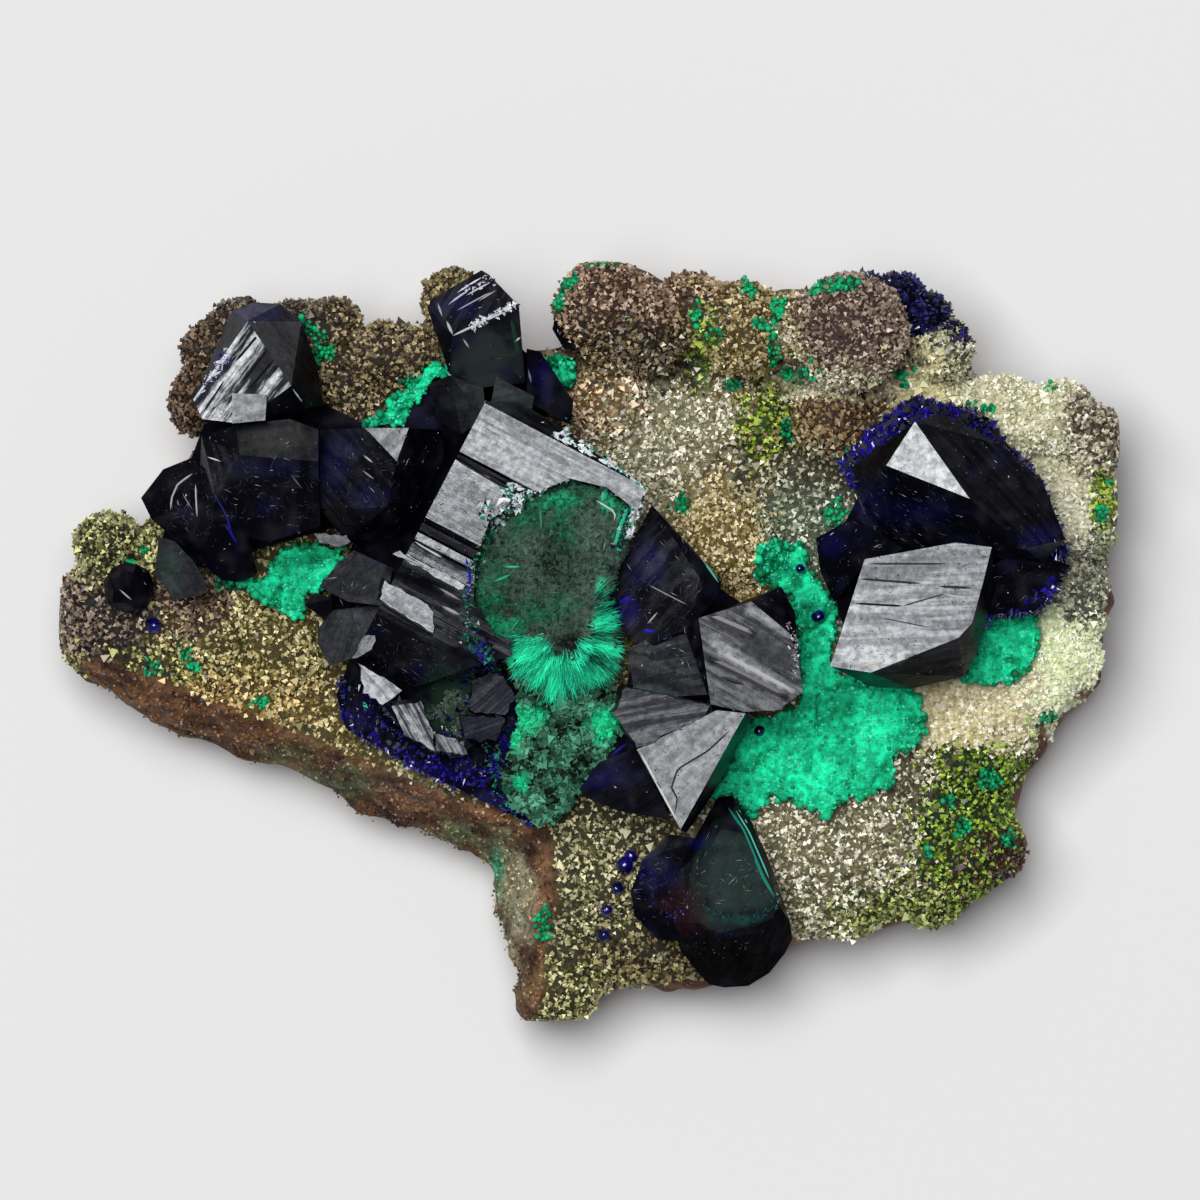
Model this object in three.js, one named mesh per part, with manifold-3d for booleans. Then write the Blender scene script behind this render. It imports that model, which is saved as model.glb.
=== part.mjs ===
// Azurite specimen: azurite crystals and malachite crusts on a lumpy piece of loose rock.
// It lies on its back with the crystals up. Millimetres, +Z up, origin under the middle of the rock.

import * as THREE from "three";
import { ConvexGeometry } from "three/addons/geometries/ConvexGeometry.js";
import { mergeVertices } from "three/addons/utils/BufferGeometryUtils.js";
import Module from "manifold-3d";

const wasm = await Module();
wasm.setup();

// Driving dimensions of the rock
const FACE_HEIGHT = 11.2; // the rock's face between its lumps
const WIDEST_HEIGHT = 5; // where the rock reaches its outline
const SHOULDER = 2.4; // how far the edge of the face is drawn in from the outline
const UNDERCUT = 0.8; // how much the rock narrows for each mm below its widest height
const LOBE_FALL = 0.16; // fall of the face for each mm towards the low lobe
const LOBE_FALL_START = -10;
const FACE_ROUGHNESS = 0.5;
const SIDE_ROUGHNESS = 0.55;
const UNDERSIDE_ROUGHNESS = 2;
const UNDERSIDE_DEPTH = 0.3; // how far the broken underside is cut away to make it flat
const LUMP_BLEND = 0.9; // rounding where a lump meets the rock
const LUMP_LENGTH = 2.4; // how much longer a lump is below its middle than above it
const FACE_WAVE = 5; // width of the roughness of the face, the sides and the underside
const SIDE_WAVE = 5.5;
const SIDE_FINE_WAVE = 2.6;
const UNDERSIDE_WAVE = 9;
const FACET = 2.3; // size of the rock's facets

// Driving dimensions of what grows on it
const ROOT_HEIGHT = 9; // crystals reach down into the rock to here
const ROOT_TAPER = 0.86; // a crystal's root, as a share of its outline
const GAP = 0.3; // between a piece and its neighbour
const CRUST_GAP = 0.4; // between a crust and the rock under it
const CRUST_THICKNESS = 0.8;
const CUTTER_TOP = 30; // above everything
const MERGE_DISTANCE = 1e-4; // points of a mesh nearer than this are one
const ROCK_LOW = [-38.4, -28.6, -3.1]; // corners of a box around the rock
const ROCK_HIGH = [38.4, 28.6, 23.5];

// Outline of the rock seen from above, as x and y
const ROCK_OUTLINE = [
  [-35.6, 2.8], [-35.3, 4.7], [-34.1, 5.1], [-34.5, 7.1], [-33.3, 8.5], [-30.8, 8.5], [-30.0, 7.5],
  [-29.3, 9.5], [-28.3, 11.6], [-26.3, 13.5], [-27.9, 14.5], [-27.5, 16.5], [-26.7, 18.8],
  [-26.0, 21.1], [-24.1, 22.5], [-21.9, 22.6], [-17.3, 22.8], [-16.0, 21.8], [-15.6, 20.5],
  [-14.5, 20.9], [-12.7, 21.1], [-11.3, 20.7], [-10.8, 22.1], [-10.5, 24.0], [-9.0, 24.8],
  [-7.5, 24.1], [-6.7, 20.8], [-4.3, 19.3], [-1.9, 19.8], [-2.3, 22.1], [-2.0, 23.8],
  [-0.3, 25.3], [1.9, 26.0], [4.3, 24.3], [5.9, 23.8], [6.8, 24.5], [9.0, 23.5], [12.3, 23.5],
  [14.0, 23.8], [16.0, 24.3], [18.7, 23.8], [21.0, 23.3], [23.0, 22.0], [24.5, 20.1],
  [24.8, 18.8], [26.3, 17.6], [30.0, 17.5], [32.3, 17.3], [33.3, 16.1], [35.2, 15.3],
  [35.8, 14.3], [35.0, 11.8], [35.9, 10.5], [35.8, 8.5], [34.8, 6.5], [34.9, 3.5], [34.0, -2.5],
  [33.0, -3.9], [31.5, -4.7], [29.7, -8.5], [28.8, -10.5], [28.9, -12.5], [28.7, -14.7],
  [27.3, -15.9], [25.7, -17.5], [23.2, -19.2], [21.0, -18.7], [15.3, -19.9], [13.3, -20.0],
  [11.3, -21.2], [8.7, -22.9], [5.5, -23.2], [2.3, -23.1], [1.0, -23.9], [-0.7, -25.5],
  [-2.3, -26.0], [-4.0, -25.9], [-5.3, -24.4], [-6.7, -20.5], [-6.7, -17.2], [-7.5, -15.9],
  [-10.0, -13.9], [-12.7, -12.5], [-15.9, -11.9], [-18.3, -9.9], [-20.0, -8.9], [-25.0, -6.9],
  [-29.3, -5.7], [-32.1, -3.3], [-34.7, -1.2], [-35.5, 0.5],
];

// Lumps of the rock's face: x, y, radius and height of the top
const LUMPS = [
  [-32.3, 6.5, 2.1, 12], [-33.6, 2.8, 2.4, 12], [-31.3, 0.1, 3.3, 11.4], [-25, 0.1, 3.3, 13.5],
  [-20.7, -0.5, 4, 13], [-28.7, -2.0, 3, 11.2], [-26, 16.1, 2.1, 12.4], [-25.1, 19.5, 2, 13],
  [-23.3, 20.9, 2, 13], [-19.5, 21, 1.9, 13], [-17.3, 20.8, 2.1, 14], [-16.3, 18.1, 2.1, 13.2],
  [-13.7, 19.2, 2.1, 14], [-11.5, 18.8, 2, 14], [-16, 16.1, 1.9, 12.6], [-9.1, 22.8, 2, 14],
  [0.9, 22.6, 3.3, 18], [3.3, 20.8, 3.1, 17], [6.7, 22.4, 2.2, 15.2], [1.3, 16.1, 2.7, 14],
  [8.7, 21.4, 2.3, 16], [10.3, 20.1, 2.4, 17], [10.2, 21.8, 2.1, 15], [17.3, 20.6, 3.8, 19.5],
  [13.3, 21, 2.1, 16], [16, 14.8, 2.4, 15.5], [11.3, 14.8, 2.1, 13.2], [9, 6.8, 3.1, 15],
  [4, 12.8, 3.3, 12.4], [23.4, 19.6, 2, 14], [27.3, 14.8, 3, 14.5], [31.3, 14.9, 2.5, 14.5],
  [33.7, 13.5, 2.1, 13], [32.7, 8.1, 2.6, 14], [32.6, 2.8, 2.3, 13], [31.7, -1, 2.4, 13],
  [27.3, -5.2, 2.4, 12.5], [30, -3.2, 2, 12.5], [24.7, -7.9, 2.7, 12.2], [20.7, -13.2, 3.3, 11.8],
  [24.7, -13.9, 3, 12], [26.9, -13.7, 2.1, 11], [16, -15.2, 3.3, 11.2], [17.3, -17.7, 2.2, 9.6],
  [12.7, -14.5, 3, 11.2], [22.7, -16.8, 2.2, 10], [0.7, -15.9, 3.3, 11.8], [-2, -17.2, 2.4, 11],
  [3.3, -20.1, 2.8, 10.2], [-2, -23, 2.5, 9.8], [-3.1, -23.9, 2.1, 8.6], [6.7, -21, 2.1, 8.4],
];

// The broken flank below the left lobe and the flank of the low lobe. Each starts from a point
// on the edge of the face, leans out along a level direction and falls steeply.
const FLANK_EDGE_HEIGHT = 11.5;
const LEFT_FLANK = { x: -30.7, y: -2.5, outX: -0.359, outY: -0.933, steepness: 2.2 };
const LOBE_FLANK = { x: -2.7, y: -20, outX: -1, outY: 0, steepness: 1.7 };

// Flat fractures that undercut the rock: the level direction each faces in degrees, its distance
// from the middle at the height where it starts, and how far it leans over towards the underside
const FRACTURE_HEIGHT = 5.5;
const FRACTURES = [
  { facing: 2, reach: 35, lean: 58 },
  { facing: 38, reach: 33.5, lean: 66 },
  { facing: 80, reach: 25.5, lean: 56 },
  { facing: 118, reach: 27.5, lean: 64 },
  { facing: 150, reach: 31, lean: 50 },
  { facing: 186, reach: 35, lean: 64 },
  { facing: 243, reach: 20.5, lean: 52 },
  { facing: 268, reach: 25, lean: 60 },
  { facing: 312, reach: 30, lean: 66 },
];

// Corners of a flat face: their x and y, at heights that start from the first corner and rise by
// a slope along x and along y
function flatFace(height, slopeX, slopeY, corners) {
  const [x0, y0] = corners[0];
  return corners.map(([x, y]) => [x, y, height + slopeX * (x - x0) + slopeY * (y - y0)]);
}

// Corner points of the crystals above their roots, as x, y and height. The first entry of a group
// is the low mass that its crystals have grown from.
const LEFT_CRYSTALS = [
  [
    [-25, 16.5, 12.6], [-20, 17, 12.6], [-11.5, 12.8, 12.6], [-12.3, 9, 12.6], [-18, 8, 12.6],
    [-24, 6.2, 12.6], [-28, 4.5, 12.6], [-28.5, 7, 12.6], [-27, 11, 12.6],
  ],
  [
    ...flatFace(19.2, 0.08, -0.1, [
      [-22.7, 21.3], [-26.3, 16.1], [-25.7, 14.8], [-23.2, 14.5], [-19.8, 17], [-21.1, 18.9],
    ]),
    [-23.8, 22, 15.5], [-22.4, 22.6, 15], [-20.6, 22.5, 15], [-19.2, 21.3, 15], [-18.2, 18.6, 15.5],
    [-17.7, 15.8, 15.5], [-18.9, 15.5, 18],
  ],
  flatFace(20.5, 0.1, -0.12, [[-23.7, 16.5], [-21.4, 16.4], [-21.5, 14.7], [-23.7, 14.5]]),
  [
    ...flatFace(19.3, 0.13, -0.28, [[-23.5, 14.4], [-23.2, 12.4], [-18, 12], [-18, 14.1], [-19.9, 14.8]]),
    ...flatFace(19.9, 0.19, 0.55, [[-23.2, 12.4], [-17.9, 7.7], [-21.2, 6.7], [-22.7, 6.9], [-24.8, 9.6]]),
    [-25.8, 13.7, 17.4], [-25.9, 11.4, 16.5],
  ],
  [
    ...flatFace(20, 0.1, -0.12, [[-14.9, 14.2], [-12, 14.2], [-12.8, 12]]),
    ...flatFace(20, 0.43, 0.18, [[-14.9, 14.2], [-17.9, 14.1], [-17.9, 8.9], [-16.2, 8.8], [-13.4, 9]]),
    [-9.8, 14.1, 16.5], [-9.7, 12.2, 16.5], [-11.5, 8.6, 16.3], [-12.7, 6.9, 16], [-16.3, 6.7, 16],
  ],
  [
    [-29.9, 9.6, 13.5], [-28.4, 11.5, 14.5], [-26.6, 12.2, 16], [-25.6, 11.4, 17.2],
    [-24.8, 9.6, 17.9], [-22.7, 6.9, 16.8], [-22.1, 4.6, 15], [-23.5, 4, 14.8], [-24.5, 4.1, 14.8],
    [-25.6, 6, 15.6], [-29.2, 8.2, 13.8],
  ],
  flatFace(15, 0.2, -0.25, [
    [-28.7, 7], [-27.6, 6.7], [-26.3, 5.3], [-25.4, 3.8], [-25.8, 3.1], [-27.7, 2.8], [-28.9, 4.6],
  ]),
];

const CENTRE_CRYSTALS = [
  [
    [-9.5, 21, 13], [-6, 21, 13], [-2, 17, 13], [-6, 10, 13], [-12, 1, 13], [-17.6, 2.4, 13],
    [-16, 4.4, 13], [-11, 12, 13],
  ],
  [
    ...flatFace(20.3, 0.02, 0.22, [[-9.1, 20.3], [-4.7, 22.3], [-4.3, 17.2], [-7.1, 16.9], [-9.3, 17.7]]),
    [-10.8, 22.2, 17.2], [-10.5, 22.8, 17], [-8.4, 23.7, 17.6], [-7.2, 24.7, 17.5],
    [-6.7, 24.4, 17.8], [-5.2, 22.8, 19.6],
  ],
  [[-4.2, 19.5, 17], [-3.3, 19.3, 17], [-1.1, 16, 17.5], [-1.3, 14.4, 18], [-4.2, 16, 18.5]],
  [
    [-10.7, 17.1, 18.6], [-9.3, 17.7, 19], [-7.1, 17.2, 19.4], [-6.9, 15, 19.4],
    [-8.5, 13.8, 19], [-10.1, 14.7, 18.6],
  ],
  [[-6.2, 17.6, 20], [-3.7, 16.3, 20], [-3.9, 15.2, 20], [-6.7, 15.2, 20]],
  flatFace(16.6, 0.18, -0.2, [
    [-16.6, 5.4], [-15.7, 6.1], [-13.1, 4.9], [-13.6, 2.4], [-16.1, 2.7], [-18, 3.7],
  ]),
  [[-19, 2.5, 15], [-18.3, 3.3, 15.2], [-17.1, 2.9, 15.4], [-17.4, 1.3, 15]],
  flatFace(15.6, 0.18, -0.2, [
    [-18.1, 0.9], [-17.1, 2.1], [-13.9, 2.5], [-14, 1], [-15.4, -0.9], [-17.3, -1.6], [-18.1, -0.1],
  ]),
  [
    [-16.9, -3.5, 13], [-16.3, -5.7, 12.5], [-12.2, -8.1, 12.6], [-7.4, -10.1, 12.6],
    [-3.7, -12.3, 12.4], [-1.3, -10.9, 13], [-3.9, -4, 14.6], [-7.4, -0.1, 15.4],
    [-10.9, -1.5, 15.4], [-15.9, -1, 14.8],
  ],
  [[-13.9, -4, 16], [-11, -3.7, 16.3], [-8, -6.7, 16], [-8.7, -7.7, 15.4], [-12.3, -5.8, 15.6]],
];

// The large stepped crystal: its outline seen from above, the corner its steps are counted from,
// the directions along and across it, and the step edges as distance along it and height
const STEPPED_OUTLINE = [
  [-6.9, 15.9], [-4.7, 15.9], [-2.3, 14.5], [0.7, 12.3], [3.6, 10.1], [2.6, 7], [0.7, 3.7],
  [-1.5, 0], [-7.5, -1.5], [-11.5, -3], [-15.9, -1.4],
];
const STEPPED_CORNER = new THREE.Vector3(-6.9, 15.9, 0);
const STEPPED_ALONG = new THREE.Vector3(-0.465, -0.885, 0);
const STEPPED_ACROSS = new THREE.Vector3(0.885, -0.465, 0);
const STEPPED_WIDTH = 16; // more than the outline, so that the steps reach both its sides
const STEPPED_MARGIN = 1;
const STEP_EDGES = [
  [-1.6, 22.2], [0.1, 24], [3.7, 23.9], [3.9, 23.3], [4.1, 23.3], [4.3, 23.7], [8.6, 23.4],
  [9, 22.7], [9.5, 22.7], [9.7, 22.2], [10.2, 22.2], [10.4, 21.6], [11.3, 21.5], [12.3, 20.3],
  [12.8, 20.2], [14.9, 19.9], [15.4, 19.2], [15.8, 19.1], [19.6, 15],
];

// The malachite that has taken the place of part of the stepped crystal
const REPLACED_ROOT = 11;
const REPLACED_PARTS = [
  [
    [-4, 9.7, 22.9], [-1.3, 10.8, 22.8], [1.1, 10.2, 22.5], [2.9, 8.8, 22.1], [2.4, 6, 21.6],
    [1.5, 3.2, 21], [-0.5, -1.4, 19.7], [-3.2, -0.7, 19.4], [-6.4, 0.3, 19.2],
    [-7.8, 2.7, 19.8], [-7.6, 5.2, 21.4], [-6.6, 8.1, 22.4],
  ],
  [
    [-5.4, -0.1, 19.2], [-0.3, 2.7, 20.6], [0.8, 3.7, 20.8], [1.5, 2.3, 20.3], [1.9, 0.5, 19.5],
    [1.6, -3.1, 16], [-0.5, -4, 15.5], [-4.5, -4.7, 15], [-4.9, -2.5, 17],
  ],
  [
    [-2.3, -3.5, 15.4], [1.4, -3.1, 15.4], [2.2, -5.9, 14.6], [-0.6, -8.1, 14.2],
    [-1.3, -9.4, 13.8], [-2.1, -12, 13.2], [-3.7, -12, 13.2], [-6, -9.6, 13.6],
    [-4.5, -4.2, 15.2],
  ],
];

const MIDDLE_CRYSTALS = [
  [
    [5, 6, 14], [8, 3, 14], [12.5, 1, 14], [12.5, -3, 14], [8.5, -6, 14], [4, -10, 14],
    [0.6, -9.2, 14], [3.5, -1, 14],
  ],
  [
    ...flatFace(18.2, 0.2, 0.16, [
      [2.7, 5.7], [4.1, 9.1], [5.3, 7.3], [7.3, 4.2], [7, 2.6], [5.6, 0.6], [3.6, -0.6], [1.7, 1.1],
      [1.3, 2.3], [1.5, 3.9],
    ]),
    [7.1, 5.9, 17.6], [8.7, 4, 17.8], [8.5, 3.1, 17.8], [6.5, 0.8, 18],
  ],
  [
    ...flatFace(19.9, 0.1, -0.07, [
      [7.2, 1.6], [10.7, 2.7], [13.2, 0.6], [13.8, -1.1], [14.1, -3.3], [12.4, -4.5], [10.2, -4.6],
      [8, -4.1],
    ]),
    [6.3, 0.8, 18.2], [12.7, 3.7, 18], [13.6, 2, 18.4],
  ],
  [
    ...flatFace(20.8, 0.09, -0.08, [[8.4, -4.5], [10.3, -4.7], [6, -12.4], [3.1, -7.1]]),
    [10.7, -5.2, 17.5], [8.3, -9.9, 16.5], [6.4, -12.7, 16.8],
  ],
  flatFace(18.9, 0.26, 0.1, [
    [2.2, -3.1], [3.9, -3.2], [8, -4.1], [8.2, -4.7], [5.4, -6], [3.2, -7], [1.7, -5.5],
  ]),
  [[2.5, -0.4, 17.5], [4.5, 0.4, 17.5], [7.6, 0.6, 17.6], [8.8, -3.4, 18], [3, -3.8, 17.8]],
  flatFace(16, 0.5, -0.05, [
    [-1.1, -9.4], [-0.5, -8.4], [3.1, -7], [5.4, -11.8], [1.9, -11.2], [-0.1, -10.4],
  ]),
];

const LOWER_CRYSTALS = [
  [
    ...flatFace(16.5, 0.04, 0.03, [
      [8.7, -12.4], [10.1, -12.7], [11.1, -14.9], [12.5, -17.4], [12.1, -18.3], [10.9, -18.9],
      [8.5, -19.3], [7.3, -18.7], [7.2, -16.6], [7.6, -14.4],
    ]),
    [8.5, -10.3, 14.8], [9.5, -10.2, 14.8], [10.7, -11.9, 15], [11.7, -14, 14.8], [12.6, -16.3, 14.4],
    [13.3, -18.6, 13], [13.5, -19.8, 11], [13, -20.8, 10], [12, -22.1, 9], [10.6, -23, 8.2],
    [9, -23.1, 8.4], [8, -22.9, 9], [7.3, -22.2, 10], [6, -20.5, 12], [5.6, -18.6, 13.2],
    [5.6, -16.5, 14], [5.9, -15, 14.4], [6.9, -13.6, 14.8],
  ],
  [
    [3.5, -14.5, 14], [5.3, -12.8, 14], [7.4, -13.1, 14.5], [7.4, -19.1, 13],
    [5.7, -19.9, 12.5], [4.5, -19.8, 12.3], [3, -18.3, 12.3], [2.7, -16.7, 13],
  ],
];
const LOWER_ROOTS = [5, 8];

const RIGHT_CRYSTALS = [
  [
    [18.5, 11, 14], [22, 14.5, 14], [28, 11, 14], [30.5, 6, 14], [28, 3, 14], [24, -1, 14],
    [18, -1.5, 14], [16.5, 2, 14], [16, 6, 14],
  ],
  [
    ...flatFace(22.2, 0.08, -0.1, [[21.5, 14.6], [19.6, 11.7], [25.1, 9.5]]),
    ...flatFace(22.2, -0.66, -0.62, [[21.5, 14.6], [28.8, 6.2], [27.3, 13.1], [30, 10.7], [31.5, 6.8]]),
    [23.2, 15.2, 20], [17.3, 11.6, 17], [18.1, 9.1, 16.5], [20.8, 5.9, 16.5], [26.3, 6.5, 18.5],
    [30.1, 5.3, 18],
  ],
  [
    [16.8, 11.8, 15.6], [18.9, 14.2, 15.8], [21.5, 16.1, 16], [25.9, 15.2, 16], [29.3, 11.5, 15.6],
    [31.9, 5.7, 15], [18.2, 8.6, 15.6],
  ],
  [
    ...flatFace(20.8, 0.08, -0.1, [
      [18.2, 5.5], [24.2, 6.6], [26.6, 6.3], [26, 3.9], [25.3, 1.3], [24.4, 0.3], [18.6, -2],
      [15.9, -1.6],
    ]),
    [26.9, 3.4, 17.5], [25.7, -0.7, 17.5], [24.8, -2.3, 17], [21.3, -3.1, 17], [18.9, -3, 17],
    [17.1, -2.1, 17.5],
  ],
  [
    [17.5, 8.3, 17.5], [15, 6.9, 16.8], [15.3, 4.7, 16.8], [16.2, 2.7, 17], [18.1, 5, 19.5],
    [20.8, 6.2, 19.5],
  ],
  [[28.8, 6.2, 18], [31.9, 5.1, 17], [29.8, 2.1, 16.5], [26, 1.8, 17.3], [25.6, 4.5, 18]],
];

const SMALL_TOP_CRYSTAL = [
  [-2.3, 21.8, 15.4], [-1.7, 22, 15.6], [-0.3, 20.5, 16], [-0.1, 19.6, 16], [-1, 19.3, 15.8],
  [-1.8, 19.6, 15.5], [-2.5, 20.8, 15.2],
];

// Rounded crystal groups: x, y, height of the middle and radius
const SMALL_LEFT_CRYSTAL = [[-30.7, 3.6, 12.9, 1.75]];
const TOP_RIGHT_CRUST = [
  [18.4, 23.4, 12, 1.3], [20.6, 22.9, 12.1, 1.8], [22.4, 21.7, 12, 1.7], [23.9, 20.2, 12.2, 1.3],
];

// Outlines of the malachite crusts seen from above
const CRUST_OUTLINES = {
  malachite_crust_centre: [
    [8, -10.1], [9.5, -6.7], [10.7, -5.5], [13.9, -4.1], [14.3, -2.3], [13.6, -0.1], [13.3, 3.5],
    [11.1, 4], [11.2, 6.1], [11.5, 6.6], [13.9, 6.6], [14.3, 5.4], [15.1, 4], [16.5, 2.7],
    [16, -1.4], [17, -2.3], [21.1, -3.1], [22.4, -5.1], [21.7, -7], [20.2, -7.5], [20.5, -8.5],
    [19.9, -9.7], [17.3, -10.4], [15.5, -11.6], [13.7, -10.6], [11.9, -10.3], [10.7, -11.8],
  ],
  malachite_crust_right: [
    [26.4, 1.7], [29.7, 1.8], [29.7, -0.7], [28.5, -2.5], [26.9, -2.8], [24.7, -2.5], [25.7, -0.7],
  ],
  malachite_crust_left: [
    [-24.7, 4.2], [-21.8, 4.2], [-21.3, 5.4], [-19.8, 6.4], [-16.4, 6.4], [-16.7, 5.1],
    [-17.9, 3.7], [-18.9, 2.3], [-19.1, 1.8], [-20.1, 1.8], [-21.8, 2.7], [-23, 3.7],
  ],
  malachite_crust_upper_left: [
    [-15.3, 14.4], [-13.2, 15.7], [-12.9, 16.5], [-11.3, 17.2], [-10.7, 18.3], [-9.4, 18.3],
    [-9.5, 17.5], [-10.7, 16.9], [-10.5, 15.2], [-9.8, 14.3], [-9.7, 13.3], [-12, 14.3],
  ],
  malachite_crust_top: [
    [-3.4, 18.6], [-2.3, 19], [-1.3, 18.6], [-1.1, 17.5], [-1.7, 16.4], [-2.9, 16.7],
    [-3.3, 17.7],
  ],
};

// Colours and finishes
function finish(color, roughness) {
  return new THREE.MeshStandardMaterial({ color, roughness, metalness: 0, flatShading: true });
}
const ROCK_FINISH = finish(0x8b7f63, 0.95);
const AZURITE_FINISH = finish(0x14143a, 0.2);
const MALACHITE_FINISH = finish(0x1f9a72, 0.75);
const REPLACED_FINISH = finish(0x2e5f4c, 0.6);

// A number from -1 to 1 that is always the same for the same grid point
function gridValue(i, j, k) {
  const wave = Math.sin(i * 127.1 + j * 311.7 + k * 74.7) * 43758.5453;
  return 2 * (wave - Math.floor(wave)) - 1;
}

// Smooth noise from -1 to 1 with features one unit across
function noise(x, y, z) {
  const cell = [x, y, z].map(Math.floor);
  const [u, v, w] = [x, y, z].map((value, axis) => {
    const part = value - cell[axis];
    return part * part * (3 - 2 * part);
  });
  let sum = 0;
  for (const [di, wi] of [[0, 1 - u], [1, u]]) {
    for (const [dj, wj] of [[0, 1 - v], [1, v]]) {
      for (const [dk, wk] of [[0, 1 - w], [1, w]]) {
        sum += wi * wj * wk * gridValue(cell[0] + di, cell[1] + dj, cell[2] + dk);
      }
    }
  }
  return sum;
}

// Depth inside the rock's outline seen from above, negative outside it
function outlineDepth(x, y) {
  let nearest = Infinity;
  let inside = false;
  ROCK_OUTLINE.forEach(([x1, y1], i) => {
    const [x2, y2] = ROCK_OUTLINE[(i + 1) % ROCK_OUTLINE.length];
    const length2 = (x2 - x1) ** 2 + (y2 - y1) ** 2;
    const share = ((x - x1) * (x2 - x1) + (y - y1) * (y2 - y1)) / length2;
    const along = THREE.MathUtils.clamp(share, 0, 1);
    const off = Math.hypot(x - x1 - along * (x2 - x1), y - y1 - along * (y2 - y1));
    nearest = Math.min(nearest, off);
    const crossed = y1 > y !== y2 > y && x < x1 + ((y - y1) * (x2 - x1)) / (y2 - y1);
    if (crossed) inside = !inside;
  });
  return inside ? nearest : -nearest;
}

// Depth behind a flank, negative in front of it
function flankDepth(flank, x, y, z) {
  const out = flank.outX * (x - flank.x) + flank.outY * (y - flank.y);
  const room = (FLANK_EDGE_HEIGHT - z) / flank.steepness - out;
  return room * Math.sin(Math.atan(flank.steepness));
}

// Depth behind a fracture, negative in front of it
function fractureDepth({ facing, reach, lean }, x, y, z) {
  const [turn, tilt] = [THREE.MathUtils.degToRad(facing), THREE.MathUtils.degToRad(lean)];
  const out = x * Math.cos(turn) + y * Math.sin(turn) - reach;
  return -out * Math.cos(tilt) + (z - FRACTURE_HEIGHT) * Math.sin(tilt);
}

// The larger of two depths, rounded where they are alike
function roundedUnion(a, b) {
  const overlap = Math.max(LUMP_BLEND - Math.abs(a - b), 0) / LUMP_BLEND;
  return Math.max(a, b) + (overlap * overlap * LUMP_BLEND) / 4;
}

// Depth below the rock's surface, negative outside it
function rockDepth(x, y, z) {
  const fall = LOBE_FALL * Math.max(0, LOBE_FALL_START - y);
  const face = FACE_HEIGHT - fall + FACE_ROUGHNESS * noise(x / FACE_WAVE, y / FACE_WAVE, 0.5);
  const above = Math.max(0, z - WIDEST_HEIGHT) / (face - WIDEST_HEIGHT);
  const below = Math.max(0, WIDEST_HEIGHT - z);
  const coarse = noise(x / SIDE_WAVE, y / SIDE_WAVE, z / SIDE_WAVE);
  const fine = noise(x / SIDE_FINE_WAVE, y / SIDE_FINE_WAVE, z / SIDE_FINE_WAVE);
  const broken = SIDE_ROUGHNESS * (1 + 0.4 * below) * (coarse + 0.5 * fine);
  const side = outlineDepth(x, y) - SHOULDER * above * above - UNDERCUT * below + broken;
  const hollow = UNDERSIDE_ROUGHNESS * noise(x / UNDERSIDE_WAVE, y / UNDERSIDE_WAVE, 7.5);
  const underside = z + UNDERSIDE_DEPTH - hollow;
  const flanks = Math.max(flankDepth(LEFT_FLANK, x, y, z), flankDepth(LOBE_FLANK, x, y, z));
  const fractures = Math.min(...FRACTURES.map((plane) => fractureDepth(plane, x, y, z)));
  let depth = Math.min(side, face - z, underside, flanks, fractures);
  for (const [lumpX, lumpY, radius, top] of LUMPS) {
    const up = z - top + radius;
    const lump = radius - Math.hypot(x - lumpX, y - lumpY, up > 0 ? up : up / LUMP_LENGTH);
    depth = roundedUnion(depth, lump);
  }
  return depth;
}

// Where two inside points of a grid meet only across the diagonal of a square, the outside point
// nearest the surface is taken in too, so that no edge of the surface has more than two faces
function fillDiagonals(depth, count, at, size) {
  let filled = true;
  while (filled) {
    filled = false;
    for (let k = 0; k + 1 < count[2]; k += 1) {
      for (let j = 0; j + 1 < count[1]; j += 1) {
        for (let i = 0; i + 1 < count[0]; i += 1) {
          const squares = [
            [at(i, j, k), at(i + 1, j, k), at(i, j + 1, k), at(i + 1, j + 1, k)],
            [at(i, j, k), at(i + 1, j, k), at(i, j, k + 1), at(i + 1, j, k + 1)],
            [at(i, j, k), at(i, j + 1, k), at(i, j, k + 1), at(i, j + 1, k + 1)],
          ];
          for (const [a, b, c, d] of squares) {
            const inside = [a, b, c, d].map((corner) => depth[corner] > 0);
            if (inside[0] !== inside[3] || inside[1] !== inside[2] || inside[0] === inside[1]) continue;
            const [p, q] = inside[0] ? [b, c] : [a, d];
            depth[depth[p] > depth[q] ? p : q] = size / 20;
            filled = true;
          }
        }
      }
    }
  }
}

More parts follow.
